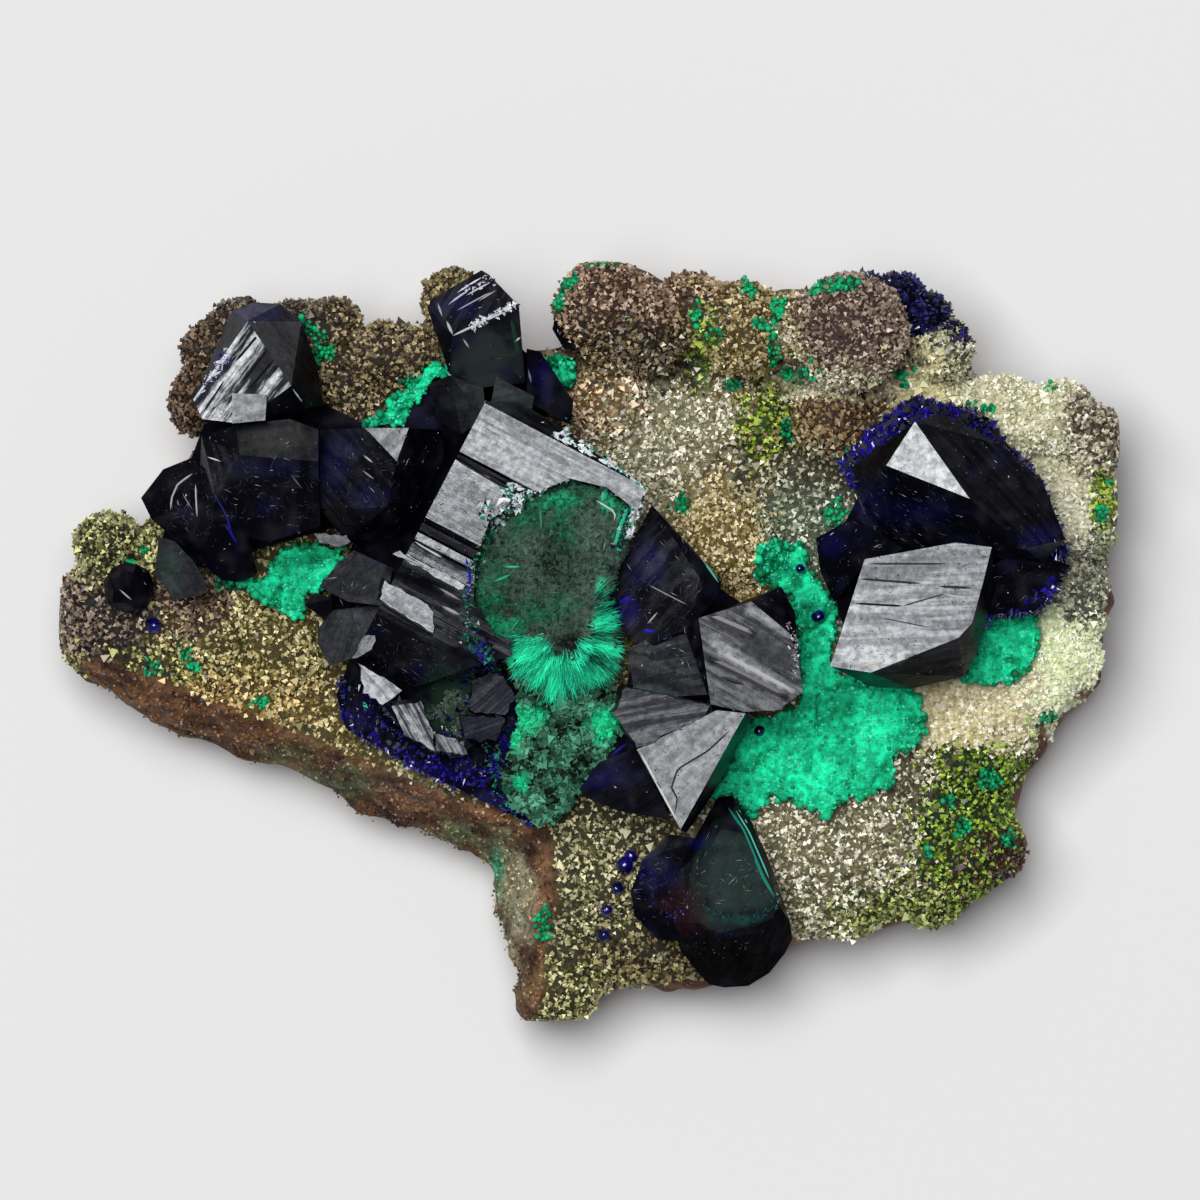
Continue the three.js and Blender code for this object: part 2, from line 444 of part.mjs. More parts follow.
// A closed surface where a depth is zero: one point in each grid cell that the surface crosses,
// at the mean of its crossings with the cell's edges, and a quad around each crossed grid edge
function surfaceOf(depthAt, low, high, size) {
  const count = [0, 1, 2].map((axis) => Math.ceil((high[axis] - low[axis]) / size) + 1);
  const at = (i, j, k) => (k * count[1] + j) * count[0] + i;
  const place = (i, j, k) => [low[0] + i * size, low[1] + j * size, low[2] + k * size];
  const depth = new Float64Array(count[0] * count[1] * count[2]);
  const cells = [];
  for (let k = 0; k < count[2]; k += 1) {
    for (let j = 0; j < count[1]; j += 1) {
      for (let i = 0; i < count[0]; i += 1) {
        depth[at(i, j, k)] = depthAt(...place(i, j, k));
        cells.push([i, j, k]);
      }
    }
  }
  fillDiagonals(depth, count, at, size);
  const corners = [0, 1, 2, 3, 4, 5, 6, 7].map((c) => [c & 1, (c >> 1) & 1, c >> 2]);
  const differ = (a, b) => [0, 1, 2].filter((axis) => a[axis] !== b[axis]).length;
  const pairs = corners.flatMap((a, m) => corners.slice(m + 1).map((b) => [a, b]));
  const edges = pairs.filter(([a, b]) => differ(a, b) === 1);
  const positions = [];
  const point = new Map();
  for (const [i, j, k] of cells) {
    if (i + 1 === count[0] || j + 1 === count[1] || k + 1 === count[2]) continue;
    const crossings = [];
    for (const [a, b] of edges) {
      const da = depth[at(i + a[0], j + a[1], k + a[2])];
      const db = depth[at(i + b[0], j + b[1], k + b[2])];
      if (da > 0 === db > 0) continue;
      const share = da / (da - db);
      crossings.push([0, 1, 2].map((axis) => a[axis] + share * (b[axis] - a[axis])));
    }
    if (crossings.length === 0) continue;
    point.set(at(i, j, k), positions.length / 3);
    [i, j, k].forEach((step, axis) => {
      const mean = crossings.reduce((sum, crossing) => sum + crossing[axis], 0) / crossings.length;
      positions.push(low[axis] + (step + mean) * size);
    });
  }
  const index = [];
  for (const [i, j, k] of cells) {
    for (let axis = 0; axis < 3; axis += 1) {
      const next = [i, j, k];
      next[axis] += 1;
      if (next[axis] === count[axis]) continue;
      const insideFirst = depth[at(i, j, k)] > 0;
      if (insideFirst === depth[at(...next)] > 0) continue;
      const ring = [[0, 0], [-1, 0], [-1, -1], [0, -1]].map(([p, q]) => {
        const cell = [i, j, k];
        cell[(axis + 1) % 3] += p;
        cell[(axis + 2) % 3] += q;
        return point.get(at(...cell));
      });
      if (!insideFirst) ring.reverse();
      index.push(ring[0], ring[1], ring[2], ring[0], ring[2], ring[3]);
    }
  }
  const geometry = new THREE.BufferGeometry();
  geometry.setAttribute("position", new THREE.Float32BufferAttribute(positions, 3));
  geometry.setIndex(index);
  return geometry;
}

// A solid from a closed geometry
function solidOf(geometry) {
  const bare = geometry.clone();
  bare.deleteAttribute("normal");
  bare.deleteAttribute("uv");
  const merged = mergeVertices(bare, MERGE_DISTANCE);
  return new wasm.Manifold(new wasm.Mesh({
    numProp: 3,
    vertProperties: new Float32Array(merged.attributes.position.array),
    triVerts: new Uint32Array(merged.index.array),
  }));
}

// The same geometry, larger by the gap on every side of its box
function grown(geometry) {
  const copy = geometry.clone();
  copy.computeBoundingBox();
  const centre = copy.boundingBox.getCenter(new THREE.Vector3());
  const size = copy.boundingBox.getSize(new THREE.Vector3());
  copy.translate(-centre.x, -centre.y, -centre.z);
  copy.scale(1 + (2 * GAP) / size.x, 1 + (2 * GAP) / size.y, 1 + (2 * GAP) / size.z);
  return copy.translate(centre.x, centre.y, centre.z);
}

// Several geometries joined in one solid
function joined(geometries) {
  return geometries.map(solidOf).reduce((sum, solid) => sum.add(solid));
}

// The largest body of a solid, without chips that a cut leaves
function largestBody(solid) {
  return solid.decompose().reduce((best, body) => (body.volume() > best.volume() ? body : best));
}

// A crystal with flat faces between its corners, and a root a little narrower than its outline
function crystal(corners, root = ROOT_HEIGHT) {
  const tips = corners.map(([x, y, z]) => new THREE.Vector3(x, y, z));
  const middle = tips.reduce((sum, tip) => sum.addScaledVector(tip, 1 / tips.length), new THREE.Vector3());
  const feet = tips.map((tip) => middle.clone().lerp(tip, ROOT_TAPER).setZ(root));
  return new ConvexGeometry([...tips, ...feet]);
}

// A rounded group of tiny crystals, turned by its place so that no two look alike
function rosette([x, y, z, radius]) {
  return new THREE.IcosahedronGeometry(radius, 1).rotateZ(x).translate(x, y, z);
}

// An upright prism over an outline seen from above
function prism(outline, bottom, top) {
  const shape = new THREE.Shape(outline.map(([x, y]) => new THREE.Vector2(x, y)));
  const geometry = new THREE.ExtrudeGeometry(shape, { depth: top - bottom, bevelEnabled: false });
  return geometry.translate(0, 0, bottom);
}

// A bar whose upper side has the step edges, across the whole stepped crystal
function stepBar() {
  const first = STEP_EDGES[0][0];
  const last = STEP_EDGES[STEP_EDGES.length - 1][0];
  const ends = [[last, ROOT_HEIGHT], [first, ROOT_HEIGHT]];
  const shape = new THREE.Shape([...STEP_EDGES, ...ends].map(([along, z]) => new THREE.Vector2(along, z)));
  const geometry = new THREE.ExtrudeGeometry(shape, { depth: STEPPED_WIDTH, bevelEnabled: false });
  const across = STEPPED_ACROSS.clone().negate();
  const turn = new THREE.Matrix4().makeBasis(STEPPED_ALONG, new THREE.Vector3(0, 0, 1), across);
  const start = STEPPED_CORNER.clone().addScaledVector(STEPPED_ACROSS, STEPPED_WIDTH - STEPPED_MARGIN);
  return geometry.applyMatrix4(turn).translate(start.x, start.y, start.z);
}

// Malachite inside the stepped crystal
const replacedParts = REPLACED_PARTS.map((corners) => crystal(corners, REPLACED_ROOT));
const openAbove = REPLACED_PARTS.map((corners) =>
  crystal(corners.map(([x, y]) => [x, y, CUTTER_TOP]), REPLACED_ROOT));
const replacedRoom = [...replacedParts, ...openAbove];

// The stepped crystal
const steppedPrism = prism(STEPPED_OUTLINE, ROOT_HEIGHT, CUTTER_TOP);
const stepped = solidOf(steppedPrism).intersect(solidOf(stepBar()));

// What grows on the rock, in the order in which each keeps clear of those before it. A group is
// the join of its parts, unless it has a solid of its own.
const crystals = (group) => group.map((corners) => crystal(corners));
const grownGroups = {
  malachite_in_centre_crystal: { parts: replacedRoom, solid: joined(replacedParts) },
  azurite_centre_cluster: {
    parts: [...crystals(CENTRE_CRYSTALS), steppedPrism],
    solid: joined(crystals(CENTRE_CRYSTALS)).add(stepped),
  },
  azurite_middle_cluster: { parts: crystals(MIDDLE_CRYSTALS) },
  azurite_lower_crystals: { parts: LOWER_CRYSTALS.map((corners, i) => crystal(corners, LOWER_ROOTS[i])) },
  azurite_left_cluster: { parts: crystals(LEFT_CRYSTALS) },
  azurite_right_cluster: { parts: crystals(RIGHT_CRYSTALS) },
  azurite_small_top_crystal: { parts: [crystal(SMALL_TOP_CRYSTAL)] },
  azurite_small_left_crystal: { parts: SMALL_LEFT_CRYSTAL.map(rosette) },
  azurite_top_right_crust: { parts: TOP_RIGHT_CRUST.map(rosette) },
};

// The rock's surface, which crusts repeat at a small height above it
const raisedRock = (rise) =>
  solidOf(surfaceOf((x, y, z) => rockDepth(x, y, z) + rise, ROCK_LOW, ROCK_HIGH, FACET));

// A mesh with a name, from a solid
function piece(name, solid, material) {
  const mesh = solid.getMesh();
  const geometry = new THREE.BufferGeometry();
  geometry.setAttribute("position", new THREE.Float32BufferAttribute(mesh.vertProperties, 3));
  geometry.setIndex(new THREE.Uint32BufferAttribute(mesh.triVerts, 1));
  geometry.computeVertexNormals();
  const node = new THREE.Mesh(geometry, material);
  node.name = name;
  return node;
}

const specimen = new THREE.Group();
specimen.name = "azurite_specimen";

// The crystals, each group cut back from the room that those before it take
let taken = null;
for (const [name, { parts, solid = joined(parts) }] of Object.entries(grownGroups)) {
  const free = taken ? solid.subtract(taken) : solid;
  const socket = joined(parts.map(grown));
  specimen.add(piece(name, largestBody(free), name.startsWith("azurite") ? AZURITE_FINISH : REPLACED_FINISH));
  taken = taken ? taken.add(socket) : socket;
}

// The rock, cut flat below, with a socket for every root
const width = ROCK_HIGH[0] - ROCK_LOW[0];
const depth = ROCK_HIGH[1] - ROCK_LOW[1];
const room = new THREE.BoxGeometry(width, depth, CUTTER_TOP).translate(0, 0, CUTTER_TOP / 2);
const aboveFloor = solidOf(room);
const rock = raisedRock(0).intersect(aboveFloor).subtract(taken);
specimen.add(piece("matrix_rock", largestBody(rock), ROCK_FINISH));

// The malachite crusts on it
const crustTop = raisedRock(CRUST_GAP + CRUST_THICKNESS);
const crustLayer = crustTop.subtract(raisedRock(CRUST_GAP)).subtract(taken);
for (const [name, outline] of Object.entries(CRUST_OUTLINES)) {
  const crust = solidOf(prism(outline, WIDEST_HEIGHT, CUTTER_TOP)).intersect(crustLayer);
  specimen.add(piece(name, largestBody(crust), MALACHITE_FINISH));
}

export default specimen;
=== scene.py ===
"""Azurite specimen on a pale floor: rock skin, druse grains, crystals, malachite crusts, light and camera.

Lengths in this file are millimetres until a mesh is made. x is to the right, y is up in the picture
and z is towards the camera, which looks straight down on the specimen.
"""

import math

import bmesh
import bpy
import numpy as np
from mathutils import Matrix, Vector


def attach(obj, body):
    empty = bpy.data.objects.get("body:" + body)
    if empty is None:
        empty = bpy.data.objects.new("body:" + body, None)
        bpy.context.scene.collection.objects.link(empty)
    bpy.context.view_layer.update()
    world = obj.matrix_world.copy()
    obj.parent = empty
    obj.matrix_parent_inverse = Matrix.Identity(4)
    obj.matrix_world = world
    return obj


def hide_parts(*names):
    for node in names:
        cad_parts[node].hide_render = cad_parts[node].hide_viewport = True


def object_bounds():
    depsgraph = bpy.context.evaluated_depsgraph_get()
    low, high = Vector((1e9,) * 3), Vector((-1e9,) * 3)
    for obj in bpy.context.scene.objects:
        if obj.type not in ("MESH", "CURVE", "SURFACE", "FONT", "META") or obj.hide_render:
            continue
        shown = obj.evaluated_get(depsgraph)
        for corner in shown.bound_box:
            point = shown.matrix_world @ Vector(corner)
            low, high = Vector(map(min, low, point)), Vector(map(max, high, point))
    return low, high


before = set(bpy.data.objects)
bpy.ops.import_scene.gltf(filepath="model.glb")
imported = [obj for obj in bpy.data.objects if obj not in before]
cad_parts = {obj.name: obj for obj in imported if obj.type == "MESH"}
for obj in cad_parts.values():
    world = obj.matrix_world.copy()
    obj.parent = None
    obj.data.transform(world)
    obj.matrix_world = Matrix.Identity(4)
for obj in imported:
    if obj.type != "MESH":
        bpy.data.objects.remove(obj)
cad_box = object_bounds()

# A millimetre in metres, the most triangles in a piece of grains and in a crystal, the distance in
# metres at which corners are joined, and in millimetres the bit squeezed and the malachite's grid
MM = 0.001
MOST_TRIANGLES = 180000
MOST_CRYSTAL_FACES = 90000
WELD = 2e-6
SQUEEZE = 0.3
MALACHITE_CELL = 0.2
rng = np.random.default_rng(12)
BOX_LOW = np.array(cad_box[0]) / MM
BOX_HIGH = np.array(cad_box[1]) / MM

# The rock, with the same measures as its solid
FACE_HEIGHT = 11.2
WIDEST_HEIGHT = 5
SHOULDER = 2.4
UNDERCUT = 0.8
LOBE_FALL = 0.16
LOBE_FALL_START = -10
LUMP_BLEND = 0.9
LUMP_LENGTH = 2.4
SKIN_CELL = 0.34
SKIN_LOW = np.array([-37.2, -27.4, -1.1])
SKIN_HIGH = np.array([37.2, 27.4, 20.6])
SKIN_INSET = 0.12
BUMPS = 0.22

ROCK_OUTLINE = np.array([
    (-35.6, 2.8), (-35.3, 4.7), (-34.1, 5.1), (-34.5, 7.1), (-33.3, 8.5), (-30.8, 8.5), (-30.0, 7.5),
    (-29.3, 9.5), (-28.3, 11.6), (-26.3, 13.5), (-27.9, 14.5), (-27.5, 16.5), (-26.7, 18.8),
    (-26.0, 21.1), (-24.1, 22.5), (-21.9, 22.6), (-17.3, 22.8), (-16.0, 21.8), (-15.6, 20.5),
    (-14.5, 20.9), (-12.7, 21.1), (-11.3, 20.7), (-10.8, 22.1), (-10.5, 24.0), (-9.0, 24.8),
    (-7.5, 24.1), (-6.7, 20.8), (-4.3, 19.3), (-1.9, 19.8), (-2.3, 22.1), (-2.0, 23.8),
    (-0.3, 25.3), (1.9, 26.0), (4.3, 24.3), (5.9, 23.8), (6.8, 24.5), (9.0, 23.5), (12.3, 23.5),
    (14.0, 23.8), (16.0, 24.3), (18.7, 23.8), (21.0, 23.3), (23.0, 22.0), (24.5, 20.1),
    (24.8, 18.8), (26.3, 17.6), (30.0, 17.5), (32.3, 17.3), (33.3, 16.1), (35.2, 15.3),
    (35.8, 14.3), (35.0, 11.8), (35.9, 10.5), (35.8, 8.5), (34.8, 6.5), (34.9, 3.5), (34.0, -2.5),
    (33.0, -3.9), (31.5, -4.7), (29.7, -8.5), (28.8, -10.5), (28.9, -12.5), (28.7, -14.7),
    (27.3, -15.9), (25.7, -17.5), (23.2, -19.2), (21.0, -18.7), (15.3, -19.9), (13.3, -20.0),
    (11.3, -21.2), (8.7, -22.9), (5.5, -23.2), (2.3, -23.1), (1.0, -23.9), (-0.7, -25.5),
    (-2.3, -26.0), (-4.0, -25.9), (-5.3, -24.4), (-6.7, -20.5), (-6.7, -17.2), (-7.5, -15.9),
    (-10.0, -13.9), (-12.7, -12.5), (-15.9, -11.9), (-18.3, -9.9), (-20.0, -8.9), (-25.0, -6.9),
    (-29.3, -5.7), (-32.1, -3.3), (-34.7, -1.2), (-35.5, 0.5),
])

# Lumps of the rock's face: x, y, radius and height of the top
LUMPS = [
    (-32.3, 6.5, 2.1, 12), (-32.9, 2.8, 2.3, 12), (-31.3, 0.1, 3.3, 11.4), (-25, 0.1, 3.3, 13.5),
    (-20.7, -0.5, 4, 13), (-28.7, -2, 3, 11.2), (-26, 16.1, 2.1, 12.4), (-25.1, 19.5, 2, 13),
    (-23.3, 20.9, 2, 13), (-19.5, 21, 1.9, 13), (-17.3, 20.8, 2.1, 14), (-16.3, 18.1, 2.1, 13.2),
    (-13.7, 19.2, 2.1, 14), (-11.5, 18.8, 2, 14), (-16, 16.1, 1.9, 12.6), (-9.1, 22.8, 2, 14),
    (0.9, 22.2, 3.1, 18), (3.3, 20.8, 3.1, 17), (6.7, 22.4, 2.2, 15.2), (1.3, 16.1, 2.7, 14),
    (8.7, 21.4, 2.3, 16), (10.3, 20.1, 2.4, 17), (10.2, 21.8, 2.1, 15), (17.3, 20.6, 3.8, 19.5),
    (13.3, 21, 2.1, 16), (16, 14.8, 2.4, 15.5), (11.3, 14.8, 2.1, 13.2), (9, 6.8, 3.1, 15),
    (4, 12.8, 3.3, 12.4), (23.4, 19.6, 2, 14), (27.3, 14.8, 3, 14.5), (31.3, 14.9, 2.5, 14.5),
    (33.7, 13.5, 2.1, 13), (32.7, 8.1, 2.6, 14), (32.6, 2.8, 2.3, 13), (31.7, -1, 2.4, 13),
    (27.3, -5.2, 2.4, 12.5), (30, -3.2, 2, 12.5), (24.7, -7.9, 2.7, 12.2), (20.7, -13.2, 3.3, 11.8),
    (24.7, -13.9, 3, 12), (26.9, -13.7, 2.1, 11), (16, -15.2, 3.3, 11.2), (17.3, -17.7, 2.2, 9.6),
    (12.7, -14.5, 3, 11.2), (22.7, -16.8, 2.2, 10), (0.7, -15.9, 3.3, 11.8), (-2, -17.2, 2.4, 11),
    (3.3, -20.1, 2.8, 10.2), (-2, -23, 2.5, 9.8), (-3.1, -23.9, 2.1, 8.6), (6.7, -21, 2.1, 8.4),
]

# The broken flanks: a point on the edge of the face, the level direction they lean out along,
# and their steepness
FLANK_EDGE_HEIGHT = 11.5
FLANKS = [(-30.7, -2.5, -0.359, -0.933, 2.2), (-2.7, -20, -1, 0, 1.7)]

# Fractures that undercut the rock: facing in degrees, reach and lean in degrees
FRACTURE_HEIGHT = 5.5
FRACTURES = [
    (2, 35, 58), (38, 33.5, 66), (80, 25.5, 56), (118, 27.5, 64), (150, 31, 50), (186, 35, 64),
    (243, 20.5, 52), (268, 25, 60), (312, 30, 66),
]

# Where the druse has which look: x, y, half sizes, dark and light colour of its grains
DRUSE = [
    # left lobe
    (-32.3, 6.6, 2.4, 2.2, "2a2812", "cfd090"),
    (-33.7, 1.9, 2.7, 2.4, "180b06", "a89488"),
    (-30.4, -2.2, 4.6, 1.6, "2c260c", "c2c078"),
    (-26.0, 2.4, 1.9, 1.9, "3a221c", "a88e82"),
    (-21.8, -0.3, 5.0, 3.0, "584c18", "e8dca4"),
    (-23.5, -3.0, 4.5, 1.4, "705820", "f4d89c"),
    # upper left
    (-26.5, 17.5, 1.7, 4.8, "180b06", "846a58"),
    (-21.0, 21.5, 3.5, 1.4, "201410", "8c7c6c"),
    (-14.5, 18.6, 4.2, 3.2, "2a180c", "b0a07c"),
    (-9.1, 23.0, 2.0, 1.8, "2a1c0c", "a4946c"),
    # top
    (1.6, 23.2, 3.8, 3.0, "442a1c", "c4a894"),
    (6.9, 22.9, 2.6, 2.0, "442a18", "c4aa8c"),
    # the next patch is painted shadow: dark brown where shade falls on the druse
    (3.3, 19.4, 4.0, 2.0, "241a10", "8d7f66"),
    (0.5, 16.4, 2.8, 2.4, "7c6038", "fce0bc"),
    (4.9, 13.8, 4.6, 3.6, "8c8868", "fcf6e2"),
    (10.3, 20.3, 2.9, 3.2, "5c4a20", "d0c090"),
    (7.6, 20.5, 0.8, 2.6, "2e5a10", "c4d860"),
    (11.9, 14.4, 1.5, 2.4, "2c4e10", "b8cc50"),
    (17.7, 20.8, 3.8, 3.5, "4c342c", "b09c92"),
    (16.7, 17.1, 4.4, 1.0, "a8a080", "f4eed4"),
    (13.0, 19.6, 0.7, 2.6, "8a8060", "e8e2c4"),
    (16.0, 14.5, 3.4, 1.7, "48301c", "a89070"),
    (22.4, 16.8, 1.9, 3.4, "c8c094", "f4f0c4"),
    (23.9, 20.0, 1.6, 1.9, "3c3c28", "d4d4bc"),
    (9.0, 7.2, 2.8, 4.0, "7c6834", "f0e0b4"),
    (13.4, 8.2, 2.2, 3.0, "5a6450", "dce4cc"),
    (12.6, 11.6, 3.2, 1.8, "3e3824", "dcd4b6"),
    # right
    (27.8, 13.6, 4.2, 3.4, "bebc98", "fcf8e2"),
    (33.8, 14.0, 2.0, 2.2, "5a4a40", "cfc6b4"),
    (31.0, 8.2, 2.6, 3.6, "ccc8ac", "fcf8e4"),
    (33.4, 4.2, 1.5, 2.8, "5c5c50", "c0c4b0"),
    (31.2, -1.2, 2.7, 3.0, "dce4b8", "fcfee8"),
    (25.2, -4.9, 3.4, 1.9, "ccc094", "fef8e4"),
    (28.0, -1.5, 2.0, 2.4, "c4b898", "f8f0d8"),
    (34.0, 9.4, 0.9, 2.0, "3c6014", "c0d450"),
    (25.4, -12.0, 3.2, 4.0, "0c2c04", "a8c848"),
    (21.6, -9.0, 1.8, 2.0, "5c563c", "f4eed4"),
    (15.6, -14.4, 5.2, 3.4, "7c7454", "fefae4"),
    (20.6, -17.4, 3.6, 1.8, "2e4010", "c0c878"),
    (27.4, -14.3, 2.3, 2.0, "2a1614", "6c4c40"),
    # low lobe
    (0.7, -16.6, 3.8, 3.6, "444018", "dcd6ac"),
    (-2.2, -23.8, 4.0, 2.4, "3c3a10", "dcd8a0"),
    (3.6, -21.0, 3.6, 2.0, "2a200e", "a09468"),
]


def linear(code):
    """The linear colour of an sRGB hex code: each channel over 255, then the sRGB curve undone."""
    channels = np.array([int(code[i:i + 2], 16) / 255 for i in (0, 2, 4)])
    return np.where(channels <= 0.04045, channels / 12.92, ((channels + 0.055) / 1.055) ** 2.4)


def grid_value(i, j, k):
    """A number from -1 to 1 for each grid point: the fraction of a large multiple of a sine."""
    wave = np.sin(i * 127.1 + j * 311.7 + k * 74.7) * 43758.5453
    return 2 * (wave - np.floor(wave)) - 1


def eased(t):
    """Three t squared less two t cubed."""
    return t * t * (3 - 2 * t)


def noise(points, wave, offset=0.0):
    """Smooth noise from -1 to 1 at points: the eight grid values around each, mixed by eased distance."""
    p = points / wave + offset
    cell = np.floor(p)
    t = eased(p - cell)
    total = np.zeros(len(p))
    for corner in np.ndindex(2, 2, 2):
        weight = np.prod(np.where(corner, t, 1 - t), axis=1)
        total += weight * grid_value(*(cell + corner).T)
    return total


def noise_on_grid(axes):
    """Smooth noise on a regular grid: a matrix for each axis, with the two eased weights in each row."""
    weights, ranges = [], []
    for values in axes:
        cell = np.floor(values).astype(int)
        t = eased(values - cell)
        span = np.arange(cell.min(), cell.max() + 2)
        rows = np.zeros((len(values), len(span)))
        rows[np.arange(len(values)), cell - span[0]] = 1 - t
        rows[np.arange(len(values)), cell - span[0] + 1] = t
        weights.append(rows)
        ranges.append(span)
    lattice = grid_value(*np.meshgrid(*ranges, indexing="ij"))
    return np.einsum("ia,jb,kc,abc->ijk", *weights, lattice, optimize=True)


def outline_depth(x, y):
    """Signed distance to the rock's outline: the least distance to its sides, positive where an odd
    number of sides is crossed going right."""
    start = ROCK_OUTLINE
    end = np.roll(start, -1, axis=0)
    nearest = np.full(x.shape, np.inf)
    inside = np.zeros(x.shape, bool)
    for (x1, y1), (x2, y2) in zip(start, end):
        share = ((x - x1) * (x2 - x1) + (y - y1) * (y2 - y1)) / ((x2 - x1) ** 2 + (y2 - y1) ** 2)
        along = np.clip(share, 0, 1)
        off = np.hypot(x - x1 - along * (x2 - x1), y - y1 - along * (y2 - y1))
        nearest = np.minimum(nearest, off)
        if y1 != y2:
            inside ^= ((y1 > y) != (y2 > y)) & (x < x1 + (y - y1) * (x2 - x1) / (y2 - y1))
    return np.where(inside, nearest, -nearest)


def flank_depth(x, y, z):
    """Depth behind the nearest broken flank: a plane through its edge, leaning out as it falls."""
    deepest = -1e9
    for fx, fy, ox, oy, steep in FLANKS:
        room = (FLANK_EDGE_HEIGHT - z) / steep - (ox * (x - fx) + oy * (y - fy))
        deepest = np.maximum(deepest, room * math.sin(math.atan(steep)))
    return deepest


def rock_depth(xs, ys, zs):
    """Depth below the rock's surface on a grid: the least of the depths below its face and behind its
    sides, flanks and fractures, joined with its lumps by a rounded maximum, with small bumps added."""
    x, y, z = xs[:, None, None], ys[None, :, None], zs[None, None, :]
    flat = noise_on_grid([xs / 5, ys / 5, np.array([0.5])])
    face = FACE_HEIGHT - LOBE_FALL * np.maximum(0, LOBE_FALL_START - y) + 0.5 * flat
    above = np.maximum(0, z - WIDEST_HEIGHT) / (face - WIDEST_HEIGHT)
    below = np.maximum(0, WIDEST_HEIGHT - z)
    coarse = noise_on_grid([xs / 5.5, ys / 5.5, zs / 5.5])
    fine = noise_on_grid([xs / 2.6, ys / 2.6, zs / 2.6])
    broken = 0.55 * (1 + 0.4 * below) * (coarse + 0.5 * fine)
    grid_x, grid_y = np.meshgrid(xs, ys, indexing="ij")
    edge = outline_depth(grid_x, grid_y)[:, :, None]
    side = edge - SHOULDER * above * above - UNDERCUT * below + broken
    underside = z + 0.3 - 2 * noise_on_grid([xs / 9, ys / 9, np.array([7.5])])
    depth = np.minimum(np.minimum(side, face - z), underside)
    depth = np.minimum(depth, flank_depth(x, y, z))
    for facing, reach, lean in FRACTURES:
        turn, tilt = math.radians(facing), math.radians(lean)
        out = x * math.cos(turn) + y * math.sin(turn) - reach
        depth = np.minimum(depth, -out * math.cos(tilt) + (z - FRACTURE_HEIGHT) * math.sin(tilt))
    for lump_x, lump_y, radius, top in LUMPS:
        near_x = np.abs(xs - lump_x) < radius + 2
        near_y = np.abs(ys - lump_y) < radius + 2
        block = np.ix_(near_x, near_y, np.ones(len(zs), bool))
        up = z - top + radius
        up = np.where(up > 0, up, up / LUMP_LENGTH)
        lump = radius - np.sqrt((x[near_x] - lump_x) ** 2 + (y[:, near_y] - lump_y) ** 2 + up ** 2)
        old = depth[block]
        overlap = np.maximum(LUMP_BLEND - np.abs(old - lump), 0) / LUMP_BLEND
        depth[block] = np.maximum(old, lump) + overlap * overlap * LUMP_BLEND / 4
    pebbly = noise_on_grid([xs / 1.3, ys / 1.3, zs / 1.3])
    pebbly += 0.5 * noise_on_grid([xs / 0.7, ys / 0.7, zs / 0.7])
    depth += BUMPS * pebbly * np.clip(z / 2, 0, 1) - SKIN_INSET
    return np.minimum(depth, z)


def nets(depth, low, size):
    """The closed surface where a depth is zero: in each crossed grid cell one point at the mean of the
    crossings of its edges, and a quad around each crossed grid edge."""
    shape = np.array(depth.shape) - 1
    inside = depth > 0
    total = np.zeros((*shape, 3))
    count = np.zeros(shape)
    corners = list(np.ndindex(2, 2, 2))
    for a in corners:
        for b in corners:
            if sum(b) - sum(a) != 1 or any(p > q for p, q in zip(a, b)):
                continue
            da, db = (depth[tuple(slice(c, c + n) for c, n in zip(corner, shape))] for corner in (a, b))
            cross = (da > 0) != (db > 0)
            share = np.where(cross, da / np.where(cross, da - db, 1), 0)
            for axis in range(3):
                total[..., axis] += np.where(cross, a[axis] + share * (b[axis] - a[axis]), 0)
            count += cross
    used = count > 0
    index = np.full(shape, -1)
    index[used] = np.arange(used.sum())
    points = low + (np.argwhere(used) + total[used] / count[used][:, None]) * size
    quads = []
    for axis in range(3):
        first = np.take(inside, range(inside.shape[axis] - 1), axis)
        second = np.take(inside, range(1, inside.shape[axis]), axis)
        at = np.argwhere(first != second)
        ring = []
        for p, q in ((0, 0), (-1, 0), (-1, -1), (0, -1)):
            cell = at.copy()
            cell[:, (axis + 1) % 3] += p
            cell[:, (axis + 2) % 3] += q
            ring.append(index[tuple(cell.T)])
        ring = np.stack(ring, axis=1)
        outward = first[tuple(at.T)]
        ring[~outward] = ring[~outward][:, ::-1]
        quads.append(ring)
    quads = np.concatenate(quads)
    return points, np.concatenate([quads[:, [0, 1, 2]], quads[:, [0, 2, 3]]])


def unit(vectors):
    """Each vector over its length."""
    return vectors / np.maximum(np.linalg.norm(vectors, axis=1, keepdims=True), 1e-12)


def point_normals(points, faces):
    """For each point the direction of the sum of the cross products of the faces around it."""
    a, b, c = (points[faces[:, i]] for i in range(3))
    cross = np.cross(b - a, c - a)
    total = np.stack([
        np.bincount(faces.ravel(), np.repeat(cross[:, axis], 3), len(points)) for axis in range(3)
    ], axis=1)
    return unit(total)


def druse_colours(points, share):
    """Dark to light colour of the druse at points: one named patch for each point, chosen with a chance
    that falls as the exponential of its squared distance in half sizes, edges shifted by noise."""
    shift = np.stack([
        noise(points, 2.2, seed) + 0.5 * noise(points, 0.8, seed) for seed in (3.3, 9.1)
    ], axis=1)
    place = points[:, :2] + 0.7 * shift
    table = np.array([row[:4] for row in DRUSE])
    away = ((place[:, None, :] - table[None, :, :2]) / table[None, :, 2:4]) ** 2
    weight = np.exp(-1.6 * away.sum(axis=2)) + 1e-9
    chance = np.cumsum(weight / weight.sum(axis=1, keepdims=True), axis=1)
    pick = (rng.random(len(points))[:, None] > chance).sum(axis=1).clip(0, len(DRUSE) - 1)
    dark = np.array([linear(row[4]) for row in DRUSE])[pick]
    light = np.array([linear(row[5]) for row in DRUSE])[pick]
    return dark + (light - dark) * share[:, None]


